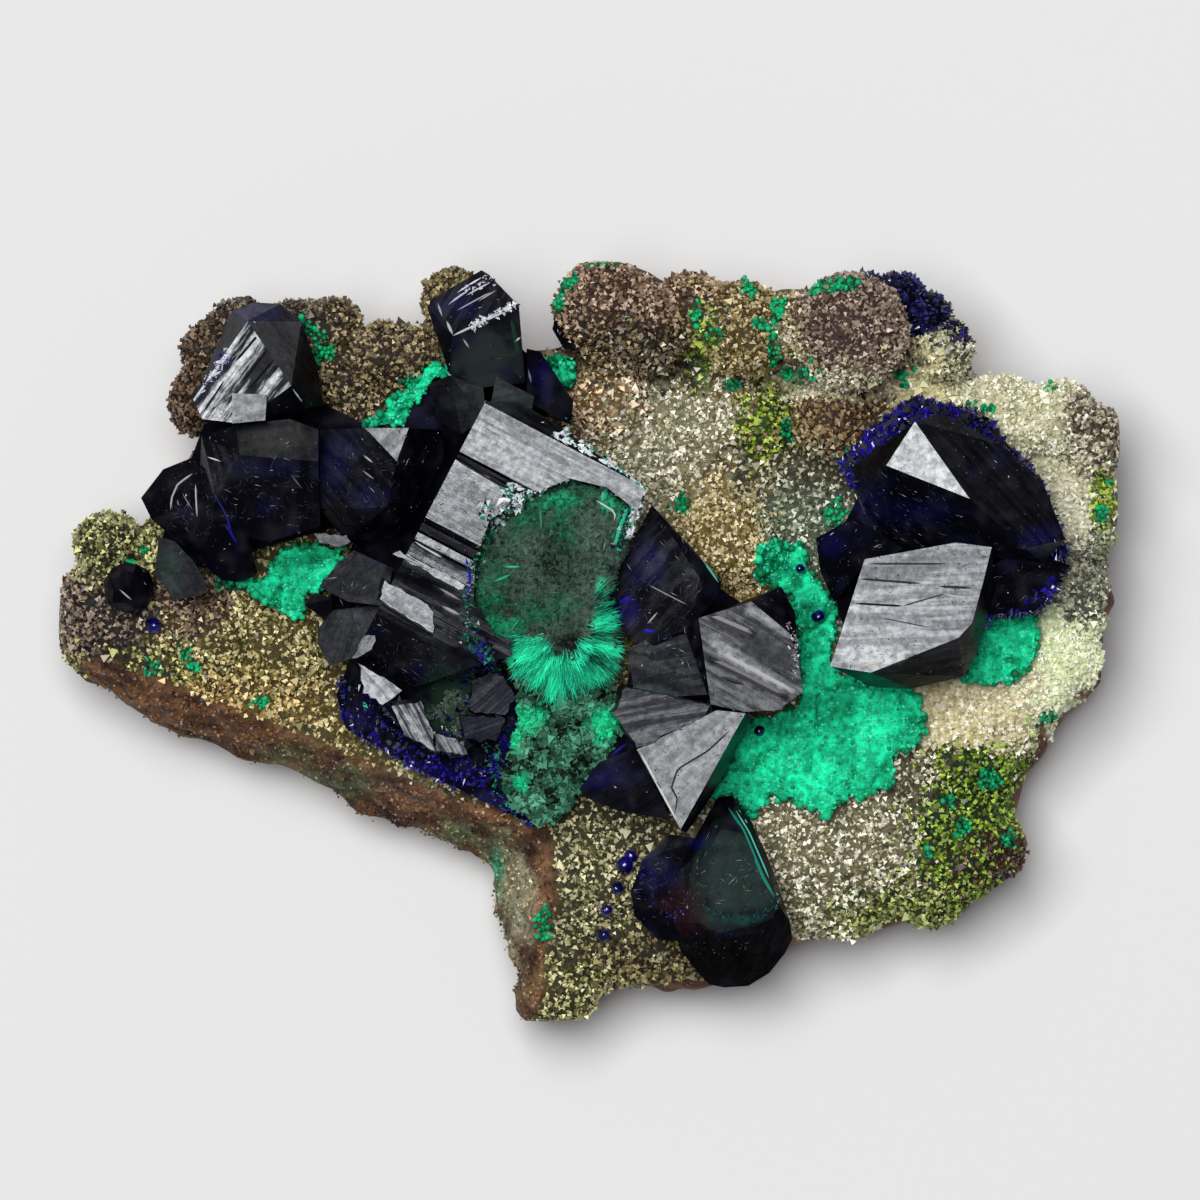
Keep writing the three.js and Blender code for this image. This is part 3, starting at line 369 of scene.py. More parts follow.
def mixed(low_code, high_code, share):
    """Colours between two hex codes by a share."""
    return linear(low_code) + (linear(high_code) - linear(low_code)) * np.clip(share, 0, 1)[:, None]


def squeezed(points, limit, sign=1):
    """Points kept below a limit on each axis: from a little short of it on they near it exponentially."""
    over = np.maximum(sign * points - limit + SQUEEZE, 0)
    return points - sign * (over - SQUEEZE * (1 - np.exp(-over / SQUEEZE)))


def paint(mesh, label, colours, domain):
    """A layer of colours on a mesh, from three channels a row, with full opacity."""
    layer = mesh.color_attributes.new(label, "FLOAT_COLOR", domain)
    opaque = np.concatenate([colours, np.ones((len(colours), 1))], axis=1)
    layer.data.foreach_set("color", opaque.astype(np.float32).ravel())


def in_scene(name, data):
    """A new object in the scene that shows the data."""
    made = bpy.data.objects.new(name, data)
    bpy.context.scene.collection.objects.link(made)
    return made


def places_of(mesh):
    """The places of a mesh's points in millimetres."""
    places = np.empty(len(mesh.vertices) * 3, np.float32)
    mesh.vertices.foreach_get("co", places)
    return places.reshape(-1, 3).astype(float) / MM


def triangles_of(mesh):
    """The three point numbers of each triangle of a mesh."""
    mesh.calc_loop_triangles()
    index = np.empty(len(mesh.loop_triangles) * 3, np.int32)
    mesh.loop_triangles.foreach_get("vertices", index)
    return index.reshape(-1, 3)


def welded(name):
    """A working copy of a CAD node's mesh, its faces joined where their corners meet."""
    work = bmesh.new()
    work.from_mesh(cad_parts[name].data)
    bmesh.ops.remove_doubles(work, verts=work.verts, dist=WELD)
    return work


def ruled(mesh, lines):
    """Growth lines on a mesh: for each corner of its faces how far it lies across and along them."""
    mesh.uv_layers.new(name="growth").data.foreach_set("uv", lines.astype(np.float32).ravel())


def turned(points, angle):
    """How far points lie across and along a level direction: their x and y turned back by its angle."""
    sine, cosine = np.sin(angle), np.cos(angle)
    return points[:, 1] * cosine - points[:, 0] * sine, points[:, 0] * cosine + points[:, 1] * sine


def mesh_piece(name, points, faces, material, colours, smooth=False):
    """A mesh object from points in millimetres and triangles, riding on the specimen."""
    points = squeezed(squeezed(points, BOX_HIGH - 0.01), -BOX_LOW - 0.01, -1)
    mesh = bpy.data.meshes.new(name)
    mesh.vertices.add(len(points))
    mesh.vertices.foreach_set("co", (points * MM).astype(np.float32).ravel())
    mesh.loops.add(faces.size)
    mesh.loops.foreach_set("vertex_index", faces.astype(np.int32).ravel())
    mesh.polygons.add(len(faces))
    mesh.polygons.foreach_set("loop_start", np.arange(0, faces.size, 3, dtype=np.int32))
    mesh.polygons.foreach_set("use_smooth", np.full(len(faces), smooth))
    paint(mesh, "tint", colours, "POINT")
    mesh.update()
    mesh.validate()
    mesh.materials.append(material)
    piece = in_scene(name, mesh)
    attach(piece, "root")
    return piece


def node(tree, kind, inputs=None, **settings):
    """Adds a shader node, sets its settings, and links or sets its inputs."""
    made = tree.nodes.new(kind)
    for key, value in settings.items():
        setattr(made, key, value)
    for key, value in (inputs or {}).items():
        if isinstance(value, bpy.types.NodeSocket):
            tree.links.new(value, made.inputs[key])
        else:
            made.inputs[key].default_value = value
    return made


def new_material(name):
    """An empty material with its output node."""
    material = bpy.data.materials.new(name)
    material.use_nodes = True
    tree = material.node_tree
    tree.nodes.clear()
    return material, tree, tree.nodes.new("ShaderNodeOutputMaterial")


def finished(material, tree, out, inputs):
    """The material, its surface set from inputs."""
    shader = node(tree, "ShaderNodeBsdfPrincipled", inputs)
    tree.links.new(shader.outputs[0], out.inputs[0])
    return material


def rgba(code):
    """The linear colour of a hex code with full opacity."""
    return (*linear(code), 1)


def grain_material(name, roughness, ior, shine=0.5):
    """Crystal grains in the colour painted on their points, on some pieces with painted glints: the light
    catches a few flat faces at a time.
    """
    material, tree, out = new_material(name)
    tint = node(tree, "ShaderNodeVertexColor", layer_name="tint")
    return finished(material, tree, out, {
        "Base Color": tint.outputs["Color"], "Roughness": roughness, "IOR": ior,
        "Specular IOR Level": shine,
    })


def dull_material(name, scale, detail, grain, contrast, dent, depth, shine):
    """A dull surface in the mesh's own colour, darker and brighter by a fine grain that also dents it."""
    material, tree, out = new_material(name)
    tint = node(tree, "ShaderNodeVertexColor", layer_name="tint")
    where = node(tree, "ShaderNodeTexCoord")
    speck = node(tree, "ShaderNodeTexNoise", {
        "Vector": where.outputs["Object"], "Scale": scale, "Detail": detail, "Roughness": grain,
    })
    low, high = contrast
    spread = node(tree, "ShaderNodeMapRange", {
        "Value": speck.outputs["Fac"], "From Min": 0.3, "From Max": 0.7, "To Min": low, "To Max": high,
    })
    colour = node(tree, "ShaderNodeVectorMath", {
        0: tint.outputs["Color"], 1: spread.outputs[0],
    }, operation="MULTIPLY")
    bump = node(tree, "ShaderNodeBump", {
        "Height": speck.outputs["Fac"], "Strength": dent, "Distance": depth,
    })
    return finished(material, tree, out, {
        "Base Color": colour.outputs[0], "Roughness": 0.8, "Specular IOR Level": shine,
        "Normal": bump.outputs[0],
    })


def rock_material():
    """Broken limonite rock: dull and grainy, its colour kept in the skin."""
    return dull_material("limonite rock", 2600.0, 3.0, 0.6, (0.35, 1.5), 0.6, 0.0002, 0.5)


def malachite_material():
    """Malachite crust: a felt of tiny needles, dull bright green with paler specks."""
    return dull_material("malachite crust", 2400.0, 4.0, 0.65, (0.4, 1.7), 0.7, 0.00015, 0.15)


def azurite_material():
    """Azurite crystal: nearly black blue with a glassy polish, so that a face is either a bright
    reflection of the light or dark; growth lines cut the reflection into stripes and pits dull it."""
    material, tree, out = new_material("azurite crystal")
    where = node(tree, "ShaderNodeTexCoord")
    lines = node(tree, "ShaderNodeUVMap", uv_map="growth")
    tint = node(tree, "ShaderNodeVertexColor", layer_name="tint")
    finish = node(tree, "ShaderNodeVertexColor", layer_name="finish")
    parts = node(tree, "ShaderNodeSeparateColor", {"Color": finish.outputs["Color"]})
    growth = node(tree, "ShaderNodeMapping", {"Vector": lines.outputs[0], "Scale": (1.0, 0.06, 1.0)})
    stripes = node(tree, "ShaderNodeTexNoise", {
        "Vector": growth.outputs[0], "Scale": 1.9, "Detail": 7.0, "Roughness": 0.68,
    })
    cut = node(tree, "ShaderNodeMapRange", {
        "Value": stripes.outputs["Fac"], "From Min": 0.45, "From Max": 0.55, "To Min": 0.0, "To Max": 1.0,
    })
    dull = node(tree, "ShaderNodeTexNoise", {
        "Vector": where.outputs["Object"], "Scale": 2000.0, "Detail": 4.0, "Roughness": 0.7,
    })
    worn = node(tree, "ShaderNodeMapRange", {
        "Value": dull.outputs["Fac"], "From Min": 0.38, "From Max": 0.62, "To Min": 0.6, "To Max": 1.25,
    })
    loss = node(tree, "ShaderNodeMath", {0: cut.outputs[0], 1: parts.outputs["Blue"]}, operation="MULTIPLY")
    kept = node(tree, "ShaderNodeMath", {0: 1.0, 1: loss.outputs[0]}, operation="SUBTRACT")
    polish = node(tree, "ShaderNodeMath", {
        0: kept.outputs[0], 1: parts.outputs["Green"],
    }, operation="MULTIPLY")
    shine = node(tree, "ShaderNodeMath", {0: polish.outputs[0], 1: worn.outputs[0]}, operation="MULTIPLY")
    bump = node(tree, "ShaderNodeBump", {
        "Height": stripes.outputs["Fac"], "Strength": 0.08, "Distance": 0.0003,
    })
    pits = node(tree, "ShaderNodeBump", {
        "Height": dull.outputs["Fac"], "Strength": 0.12, "Distance": 0.00008, "Normal": bump.outputs[0],
    })
    return finished(material, tree, out, {
        "Base Color": tint.outputs["Color"], "Roughness": parts.outputs["Red"], "IOR": 1.75,
        "Specular IOR Level": shine.outputs[0], "Specular Tint": (0.93, 0.97, 1.0, 1.0),
        "Normal": pits.outputs[0],
    })


GRAIN = grain_material("druse grains", 0.4, 1.55)
BLUE_GRAIN = grain_material("azurite druse", 0.16, 1.75)
GREEN_GRAIN = grain_material("malachite tufts", 0.6, 1.65, 0.15)
LINES = grain_material("crystal lines and painted glints", 0.3, 1.6)
ROCK = rock_material()
AZURITE = azurite_material()
MALACHITE = malachite_material()

# Shapes of the grains: a speck with four sides, a needle, a six-sided spike and a ball of 20 faces
SPECK = (
    np.array([(1, 0.9, -0.6), (-1.1, 0.7, 0.5), (0.8, -1, 0.7), (-0.7, -0.8, -1)]) * 0.5,
    np.array([(0, 2, 1), (0, 1, 3), (1, 2, 3), (2, 0, 3)]),
)
NEEDLE = (
    np.array([(0.05, 0, 0), (0, 0.05, 0), (-0.05, 0, 0), (0, -0.05, 0), (0, 0, 0.9), (0, 0, -0.6)]),
    np.array([(0, 1, 4), (1, 2, 4), (2, 3, 4), (3, 0, 4), (1, 0, 5), (2, 1, 5), (3, 2, 5), (0, 3, 5)]),
)
TURNS = np.arange(6) * math.pi / 3
SPIKE = (
    np.concatenate([
        np.stack([0.45 * np.cos(TURNS), 0.3 * np.sin(TURNS), np.zeros(6)], axis=1),
        [(0, 0, 0.8), (0, 0, -0.6)],
    ]),
    np.array([(i, (i + 1) % 6, 6) for i in range(6)] + [((i + 1) % 6, i, 7) for i in range(6)]),
)
GOLDEN = (1 + math.sqrt(5)) / 2
BALL_POINTS = np.array([
    (-1, GOLDEN, 0), (1, GOLDEN, 0), (-1, -GOLDEN, 0), (1, -GOLDEN, 0), (0, -1, GOLDEN), (0, 1, GOLDEN),
    (0, -1, -GOLDEN), (0, 1, -GOLDEN), (GOLDEN, 0, -1), (GOLDEN, 0, 1), (-GOLDEN, 0, -1), (-GOLDEN, 0, 1),
])
BALL = (
    BALL_POINTS / np.linalg.norm(BALL_POINTS[0]) * 0.5,
    np.array([
        (0, 11, 5), (0, 5, 1), (0, 1, 7), (0, 7, 10), (0, 10, 11), (1, 5, 9), (5, 11, 4), (11, 10, 2),
        (10, 7, 6), (7, 1, 8), (3, 9, 4), (3, 4, 2), (3, 2, 6), (3, 6, 8), (3, 8, 9), (4, 9, 5),
        (2, 4, 11), (6, 2, 10), (8, 6, 7), (9, 8, 1),
    ]),
)


def scattered(shape, points, normals, sizes, lean):
    """Copies of a small shape, each with its own size, standing along the normal plus a random lean and
    turned by a random angle around it."""
    base, faces = shape
    up = unit(normals + lean * rng.normal(size=normals.shape))
    side = unit(np.cross(up, rng.normal(size=normals.shape)))
    other = np.cross(up, side)
    stretch = sizes[:, None] * rng.uniform(0.75, 1.25, (len(points), 3))
    local = base[None] * stretch[:, None, :]
    placed = (
        points[:, None] + local[..., :1] * side[:, None]
        + local[..., 1:2] * other[:, None] + local[..., 2:] * up[:, None]
    )
    index = faces[None] + len(base) * np.arange(len(points))[:, None, None]
    return placed.reshape(-1, 3), index.reshape(-1, 3), len(base)


def scatter_piece(name, shape, points, normals, sizes, lean, colours, material, smooth=False):
    """Scattered grains, cut into pieces that keep the limit of triangles."""
    limit = MOST_TRIANGLES // len(shape[1])
    for part, start in enumerate(range(0, len(points), limit)):
        rows = slice(start, start + limit)
        placed, faces, each = scattered(shape, points[rows], normals[rows], sizes[rows], lean)
        tint = np.repeat(colours[rows], each, axis=0)
        mesh_piece(f"{name}_{part + 1}", placed, faces, material, tint, smooth)


def spots(points, table, wave):
    """How strongly each place of a table reaches points: an eased fall from one at its middle to zero
    at about one and a half of its half sizes, its edge broken up by noise."""
    x, y, rx, ry = (np.array([row[i] for row in table]) for i in range(4))
    away = np.hypot((points[:, None, 0] - x) / rx, (points[:, None, 1] - y) / ry)
    return eased(np.clip(1.5 - away + 0.5 * noise(points, wave, 6.0)[:, None], 0, 1))


# Colours of the broken sides: x, y, half sizes, colour, share
BROKEN = [
    (-31.6, -2.4, 2.4, 0.7, "4a2c14", 0.7), (-27.4, -5, 3.6, 0.8, "7a5030", 0.7),
    (-26.6, -6.4, 1, 0.4, "3c6c20", 0.8), (-23, -6.6, 2.4, 0.7, "84542e", 0.6),
    (-17, -9.4, 3.2, 1, "4e7a54", 0.9), (-20.4, -7.4, 2, 0.8, "566c44", 0.7),
    (-12.2, -9.6, 2.6, 1.6, "9a7258", 0.8), (-14.6, -11.6, 2.6, 0.6, "5a3018", 0.8),
    (-5.8, -11.4, 1.5, 0.9, "8e4c1e", 0.9), (-8.8, -12.8, 1.6, 1, "5c7c56", 0.8),
    (-6, -14, 1.2, 2, "8c9870", 0.9), (-5.2, -18, 1.4, 3.4, "c4c8a4", 0.95),
    (-6.3, -15.2, 0.4, 1.4, "18b488", 0.9), (-6.2, -15.6, 0.5, 1.2, "1ea070", 0.9),
    (-5.6, -18.8, 0.5, 0.9, "6a5030", 0.8), (-4.6, -22.6, 1.2, 1.6, "7c6a44", 0.8),
    (35, 6.4, 1.2, 3.6, "7a3c22", 0.9), (34.6, -2.2, 1, 2.4, "6a3a20", 0.8),
    (29.4, -8.6, 1, 2.4, "5e2c18", 0.8), (8, -22.8, 3, 0.8, "6a3a1e", 0.8),
]

# Places on the rim of the face where the red-brown rock is bare: x, y, half sizes
BARE = [
    (35.3, 8.4, 0.5, 2.6), (34.7, 1.6, 0.4, 2.2), (33.4, -3.4, 1, 0.5), (30.2, -7.6, 0.4, 2),
    (28.9, -12, 0.3, 1.2), (8, -22.9, 2.4, 0.4), (-28, -4, 2.2, 0.4),
]

# The rock's skin
axes = [np.arange(low, high, SKIN_CELL) for low, high in zip(SKIN_LOW, SKIN_HIGH)]
skin_points, skin_faces = nets(rock_depth(*axes), SKIN_LOW, SKIN_CELL)
skin_normals = point_normals(skin_points, skin_faces)
behind_flank = flank_depth(*skin_points.T)
z = skin_points[:, 2]
lumpy = noise(skin_points * [0.7, 0.7, 1.3], 1.3, 3.0) + 0.5 * noise(skin_points, 0.6, 5.0) - 0.7
on_side = np.clip((0.9 - behind_flank) / 0.6, 0, 1) * np.clip((z - 0.6) / 1.5, 0, 1)
skin_points += skin_normals * (0.32 * lumpy * on_side)[:, None]
skin_normals = point_normals(skin_points, skin_faces)
druse_share = eased(np.clip((z - 6.2) / 1.2, 0, 1)) * eased(np.clip((behind_flank - 0.5) / 0.6, 0, 1))
druse_share *= 1 - spots(skin_points, BARE, 0.6).max(axis=1)
skin_tint = druse_colours(skin_points, np.full(len(skin_points), 0.0))
# The skin under the grains is darkened, the more the darker its colour: painted shade in the gaps between
# the grains
skin_tint *= np.clip(0.42 + 1.0 * skin_tint[:, 1:2], 0, 1)
layers = noise(skin_points * [0.4, 0.4, 2.0], 1.4, 4.0) + 0.8 * noise(skin_points * [0.8, 0.8, 2], 0.8, 1.0)
grit = noise(skin_points, 0.7, 2.0)
broken_tint = mixed("2c1206", "946a44", 0.4 + 0.35 * layers + 0.25 * grit)
for patch_x, patch_y, rx, ry, code, most in BROKEN:
    share = spots(skin_points, [(patch_x, patch_y, rx, ry)], 0.9)[:, 0] * np.clip(0.6 + 0.5 * grit, 0, 1)
    share *= eased(np.clip((z - 2.5 + layers) / 3, 0, 1))
    broken_tint += (linear(code) * (0.7 + 0.3 * layers[:, None]) - broken_tint) * most * share[:, None]
skin_tint = broken_tint + (skin_tint - broken_tint) * druse_share[:, None]
skin = mesh_piece("rock_skin", skin_points, skin_faces, ROCK, skin_tint, smooth=True)
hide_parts("matrix_rock")

# Small malachite tufts on the druse: x, y, half sizes
TUFTS = [
    (-29, 11.2, 0.8, 0.7), (-28.1, 12.2, 0.8, 0.6), (-26.9, 13.2, 0.8, 0.6), (-31, 8.4, 0.9, 0.4),
    (-29.7, 8.7, 0.5, 0.6), (-29.8, 6.6, 0.4, 1.2), (-19.2, 21.2, 0.6, 0.5), (-18.3, 20.6, 0.7, 0.5),
    (-17.8, 19.4, 0.6, 0.6), (-18.4, 18.3, 0.4, 0.8), (17.2, 12.4, 1.1, 0.5), (16.3, 8.5, 0.9, 0.8),
    (6.1, 9.2, 0.5, 0.7), (8.3, 20.6, 0.4, 0.45), (7.1, 21.9, 0.35, 0.9), (10.5, 23.3, 0.6, 0.4),
    (12.1, 20.2, 0.45, 1.8), (12.6, 22.4, 0.4, 1), (14.6, 23.5, 1.5, 0.5), (17, 23.7, 1, 0.4),
    (11.2, 21.1, 0.4, 0.4), (14.8, 18.3, 0.6, 0.6), (13.6, 17.7, 0.7, 0.5), (20.6, 17.7, 0.6, 0.6),
    (21.7, 18.4, 0.3, 0.4), (9.5, 17.2, 0.5, 0.5), (13.1, 14.3, 0.4, 0.7), (25.8, 15.5, 0.9, 0.4),
    (30.3, 17.2, 0.7, 0.4), (34.5, 10.9, 0.5, 0.6), (34, 8.5, 0.45, 0.5), (30.1, 9.6, 0.4, 0.4),
    (26.6, -9.1, 0.7, 0.6), (30.6, -6, 0.6, 1.6), (24.9, -12.4, 0.5, 0.5), (27.9, -13.2, 0.4, 0.5),
    (22.6, -14, 0.4, 0.4), (24, -10.6, 0.4, 0.5), (-29.3, -1.9, 0.7, 0.5), (-26.8, -0.8, 0.3, 0.5),
    (-26.3, -1.6, 0.5, 0.3), (-22, -4, 0.5, 0.4), (-2, 22.9, 0.5, 1), (-1.4, 24.3, 0.6, 0.7),
    (0.3, 25.3, 1.4, 0.5), (-24, 4, 1.2, 0.4), (-30.8, 5.2, 0.4, 0.4), (21.8, 13, 0.3, 0.3),
    (-6.2, -16, 0.3, 1.2), (-3, -18.6, 0.5, 1.2), (-12, 17.2, 0.6, 0.5), (-10.3, 15.2, 0.5, 1.2),
    (-9.6, 19.2, 0.4, 0.5),
]

# The druse grains on the rock
on_tuft = spots(skin_points, TUFTS, 0.6).max(axis=1)
on_tuft *= skin_points[:, 2] > 9.2 + 1.2 * noise(skin_points, 2.0, 5.0)
on_tuft *= (skin_normals[:, 2] > 0.35) | (noise(skin_points, 1.3, 3.0) > 0.25)
grain_chance = druse_share * (on_tuft < 0.5)
on_flank = (behind_flank < 1.2) * (z > 1.2) * 0.55
seat_index = np.repeat(np.arange(len(skin_points)), 3)
seat_index = seat_index[rng.random(len(seat_index)) < 0.72 * np.maximum(grain_chance, on_flank)[seat_index]]
seat = skin_points[seat_index] + rng.normal(scale=0.13, size=(len(seat_index), 3))
seat += skin_normals[seat_index] * (0.05 * rng.random((len(seat_index), 1)))
grain_share = 1.45 * rng.random(len(seat)) ** 1.7
grain_tint = druse_colours(seat, grain_share)
grain_tint[:, 2] *= np.clip(0.82 + 0.25 * grain_tint[:, 1], 0, 1)
rubble = grain_chance[seat_index] < 0.5
kept = ~rubble | (skin_normals[seat_index, 2] > 0.35)
grain_tint[rubble] = 1.5 * skin_tint[seat_index[rubble]] * (0.35 + 1.6 * rng.random((rubble.sum(), 1)) ** 2)
grain_size = rng.uniform(0.18, 0.34, len(seat)) + 0.25 * (rng.random(len(seat)) < 0.02)
grain_size *= np.where(rubble, 0.7, 1)
seat_index, seat, grain_size, grain_tint = (
    values[kept] for values in (seat_index, seat, grain_size, grain_tint)
)
scatter_piece("druse", SPECK, seat, skin_normals[seat_index], grain_size, 0.8, grain_tint, GRAIN)

# The malachite tufts
seat_index = np.repeat(np.flatnonzero(on_tuft >= 0.5), 2)
seat = skin_points[seat_index] + rng.normal(scale=0.14, size=(len(seat_index), 3))
seat += 0.05 * skin_normals[seat_index]
scatter_piece(
    "malachite_tufts", BALL, seat, skin_normals[seat_index], rng.uniform(0.25, 0.45, len(seat)), 0.5,
    mixed("014428", "10c07c", rng.random(len(seat))), GREEN_GRAIN, smooth=True,
)

# Faces of the crystals: x and y of the middle, polish, roughness, how far growth lines cut the
# reflection, their angle in degrees and their width against the finest
FACES = [
    # upper left crystal, the tile on it and the two blocks below
    (-23.1, 17.4, 0.46, 0.2, 0.97, 53, 1.7), (-22.6, 15.5, 0.3, 0.3, 0.2, 20, 1),
    (-20.5, 19.8, 0.16, 0.3, 0.5, -50, 2), (-20.6, 13.4, 0.07, 0.35, 0.3, 85, 2),
    (-21, 9.7, 0.1, 0.4, 0.8, 85, 2), (-13.3, 13.5, 0.31, 0.3, 0.3, 40, 1),
    (-16, 11.3, 0.22, 0.4, 0.8, -50, 1.4), (-13.8, 11.7, 0.22, 0.4, 0.8, -50, 1.4),
    (-24.6, 11.9, 0.14, 0.3, 0.8, -70, 1), (-26.6, 8, 0.12, 0.35, 0.6, 60, 2),
    (-27.4, 4.8, 0.1, 0.4, 0.4, -60, 2),
    # stepped crystal
    (-2.1, 11.5, 0.64, 0.3, 0.4, -27.7, 0.8), (-7.7, 9.2, 0.68, 0.28, 0.3, -27.7, 0.8),
    (-9.8, 5.1, 0.56, 0.22, 0.5, -27.7, 0.6), (-9.8, 3.2, 0.5, 0.22, 0.5, -27.7, 0.6),
    (-9.4, 1.5, 0.22, 0.3, 0.9, -27.7, 0.7), (-10.7, 0.3, 0.36, 0.25, 0.6, -27.7, 0.6),
    (-12.2, -0.9, 0.03, 0.3, 0.6, -27.7, 1), (-2, 13.6, 0.06, 0.3, 0.8, -27.7, 1),
    (-15.4, 4.1, 0.075, 0.35, 0.4, 30, 2), (-16.1, 0.7, 0.08, 0.35, 0.4, 70, 2),
    (-14.7, -4.8, 0.3, 0.25, 0.8, 55, 0.8), (-6.5, 19.3, 0.04, 0.5, 0.5, 10, 2),
    (-8.9, 22.5, 0.14, 0.3, 0.8, 60, 1), (-7.1, 22.4, 0.16, 0.3, 0.8, 60, 1),
    # right crystals
    (22.3, 11.7, 0.54, 0.28, 0.14, -50, 1.5), (26.8, 10.6, 0.09, 0.35, 0.85, -48, 1.2),
    (23.3, 7.9, 0.05, 0.3, 0.6, -50, 1.5), (21.2, 2.5, 0.42, 0.26, 0.4, 2, 0.8),
    (18.7, 6.6, 0.05, 0.3, 0.5, 20, 1), (22.5, -1.4, 0.04, 0.3, 0.5, 10, 1),
    # middle crystals
    (10.5, -1.2, 0.13, 0.27, 0.7, -30, 1), (6.7, -7.8, 0.27, 0.27, 0.25, 40, 0.9),
    (4.6, -4.8, 0.16, 0.3, 0.6, 10, 1.5), (4.2, 4, 0.16, 0.35, 0.8, 50, 1.2),
    (2.5, -9.7, 0.1, 0.35, 0.6, 30, 1.5), (5.4, -1, 0.05, 0.35, 0.6, 10, 1),
    (4.8, -2.4, 0.05, 0.35, 0.6, 10, 1),
    # lower crystal
    (9.5, -16.2, 0.03, 0.5, 0.5, 70, 1.5), (5.3, -14.9, 0.05, 0.4, 0.5, 60, 1),
    (10.1, -20.8, 0.005, 0.6, 0.5, 70, 1), (7.2, -20.3, 0.005, 0.6, 0.5, 70, 1),
    (8.6, -20.7, 0.005, 0.6, 0.5, 70, 1), (11.6, -20, 0.005, 0.6, 0.5, 70, 1),
    (12.2, -19, 0.005, 0.6, 0.5, 70, 1),
]
FACE_REACH = 1.3
ROOT_TOP = 17.5

# Places on the crystals with a coat, and near black painted shade on the lower crystal's low
# faces: x, y, half sizes, lowest height, colour, share
COATS_AND_SHADE = [
    (9.6, -15.6, 2.8, 2.8, 15.4, "24342f", 0.8), (9.9, -18.4, 2.2, 0.25, 15.4, "0a4a40", 0.5),
    (-6.8, 18.6, 1.9, 1.9, 18.6, "222a27", 0.8), (-6.4, 15.9, 2.2, 0.8, 17, "1c2624", 0.8),
    (-28, 4.4, 0.8, 1.6, 14.5, "1a2a24", 0.8), (-9.3, -3.4, 1.6, 2, 14, "14281e", 0.8),
    (-20.6, 13.4, 2.6, 0.9, 19, "262624", 0.7), (3.4, -3.4, 1.4, 0.6, 17, "0c2c20", 0.6),
    # the near black places from height 4 up, here and on the next line, are painted shade
    (6.2, -17.8, 1.4, 1.6, 13, "2a1418", 0.7), (9.8, -21.2, 4.4, 1.3, 4, "010103", 1),
    (12.8, -19, 0.8, 1.6, 4, "020206", 0.9), (-9, -4.6, 1.7, 2.2, 12, "1a2c22", 0.8),
]

# Places where the blue shows: x, y, half sizes, strength
BLUE_PLACES = [
    (2.4, 2.2, 0.8, 0.9, 0.6), (3.6, 5.2, 1.2, 1.5, 0.3), (-14.6, 9.6, 1.2, 0.9, 0.2),
    (-17, 12, 1, 1.8, 0.22), (-21.5, 11.6, 2, 0.5, 0.18), (1.6, -4.6, 0.7, 0.8, 1),
    (0.6, -9, 1.2, 0.7, 0.35), (3.6, -3.8, 1.6, 0.5, 0.5), (21, 8.6, 3, 0.9, 0.22),
    (18.6, 9.6, 1, 1.4, 0.28), (29.6, 6.8, 1.4, 1, 0.3), (-22.2, 21.9, 1.6, 0.6, 0.5),
    (-8.6, 22.4, 1.2, 0.8, 0.3), (-3, 17.6, 0.5, 1.4, 0.3), (-11, -8.6, 3, 0.6, 0.35),
    (-5, -10.6, 3, 0.6, 0.5), (-15.5, -5, 1.4, 1, 0.2), (7.4, -13.4, 0.8, 0.5, 0.6),
    (4.6, -15.4, 1.2, 1.2, 0.25), (16, 6.4, 0.8, 1, 0.3),
]

# Steps on the crystals that reflect more or less than their face: both ends, width, polish
BANDS = [
    (-13, 5.9, -9.4, 4.1, 0.5, 0.55), (-13.3, 4.9, -9, 2.6, 0.9, 0.02), (-14, 2, -10.6, 0.1, 0.22, 0.45),
    (-13.9, 1.4, -9, -1.4, 0.8, 0.02), (-12.2, 7.5, -8.2, 5.4, 0.45, 0.5),
    (-12.2, 6.9, -8.2, 4.8, 0.5, 0.03), (-9.4, 3.2, -8.4, 2.7, 0.5, 0.3), (-9.6, 2, -8.4, 1.4, 0.5, 0.22),
    (-9.6, 0.7, -8.4, 0.1, 0.4, 0.22), (-8.8, -0.9, -6, -2.4, 1.6, 0.03), (-12, 0.2, -8.6, -1.6, 0.5, 0.05),
    (11, -0.1, 13, -1.2, 1.5, 0.05), (10.6, 2.2, 13.2, 0.7, 0.7, 0.26), (8.2, 0, 9.4, -0.6, 0.8, 0.26),
    (8, 1.7, 10.8, 0.5, 0.5, 0.02), (7.9, -1.1, 13.1, -3.7, 0.5, 0.02), (8.7, -0.7, 13.4, -3.2, 0.3, 0.35),
    (6.5, 4.8, 8.2, 3.7, 0.4, 0.4), (2.5, -1.9, 7, -3.3, 0.8, 0.02), (17.4, -0.9, 20.2, -0.8, 1.3, 0.5),
    (18.4, 4.6, 25, 5.6, 1.2, 0.2), (-19, 12.8, -17.8, 13.3, 0.8, 0.03),
]


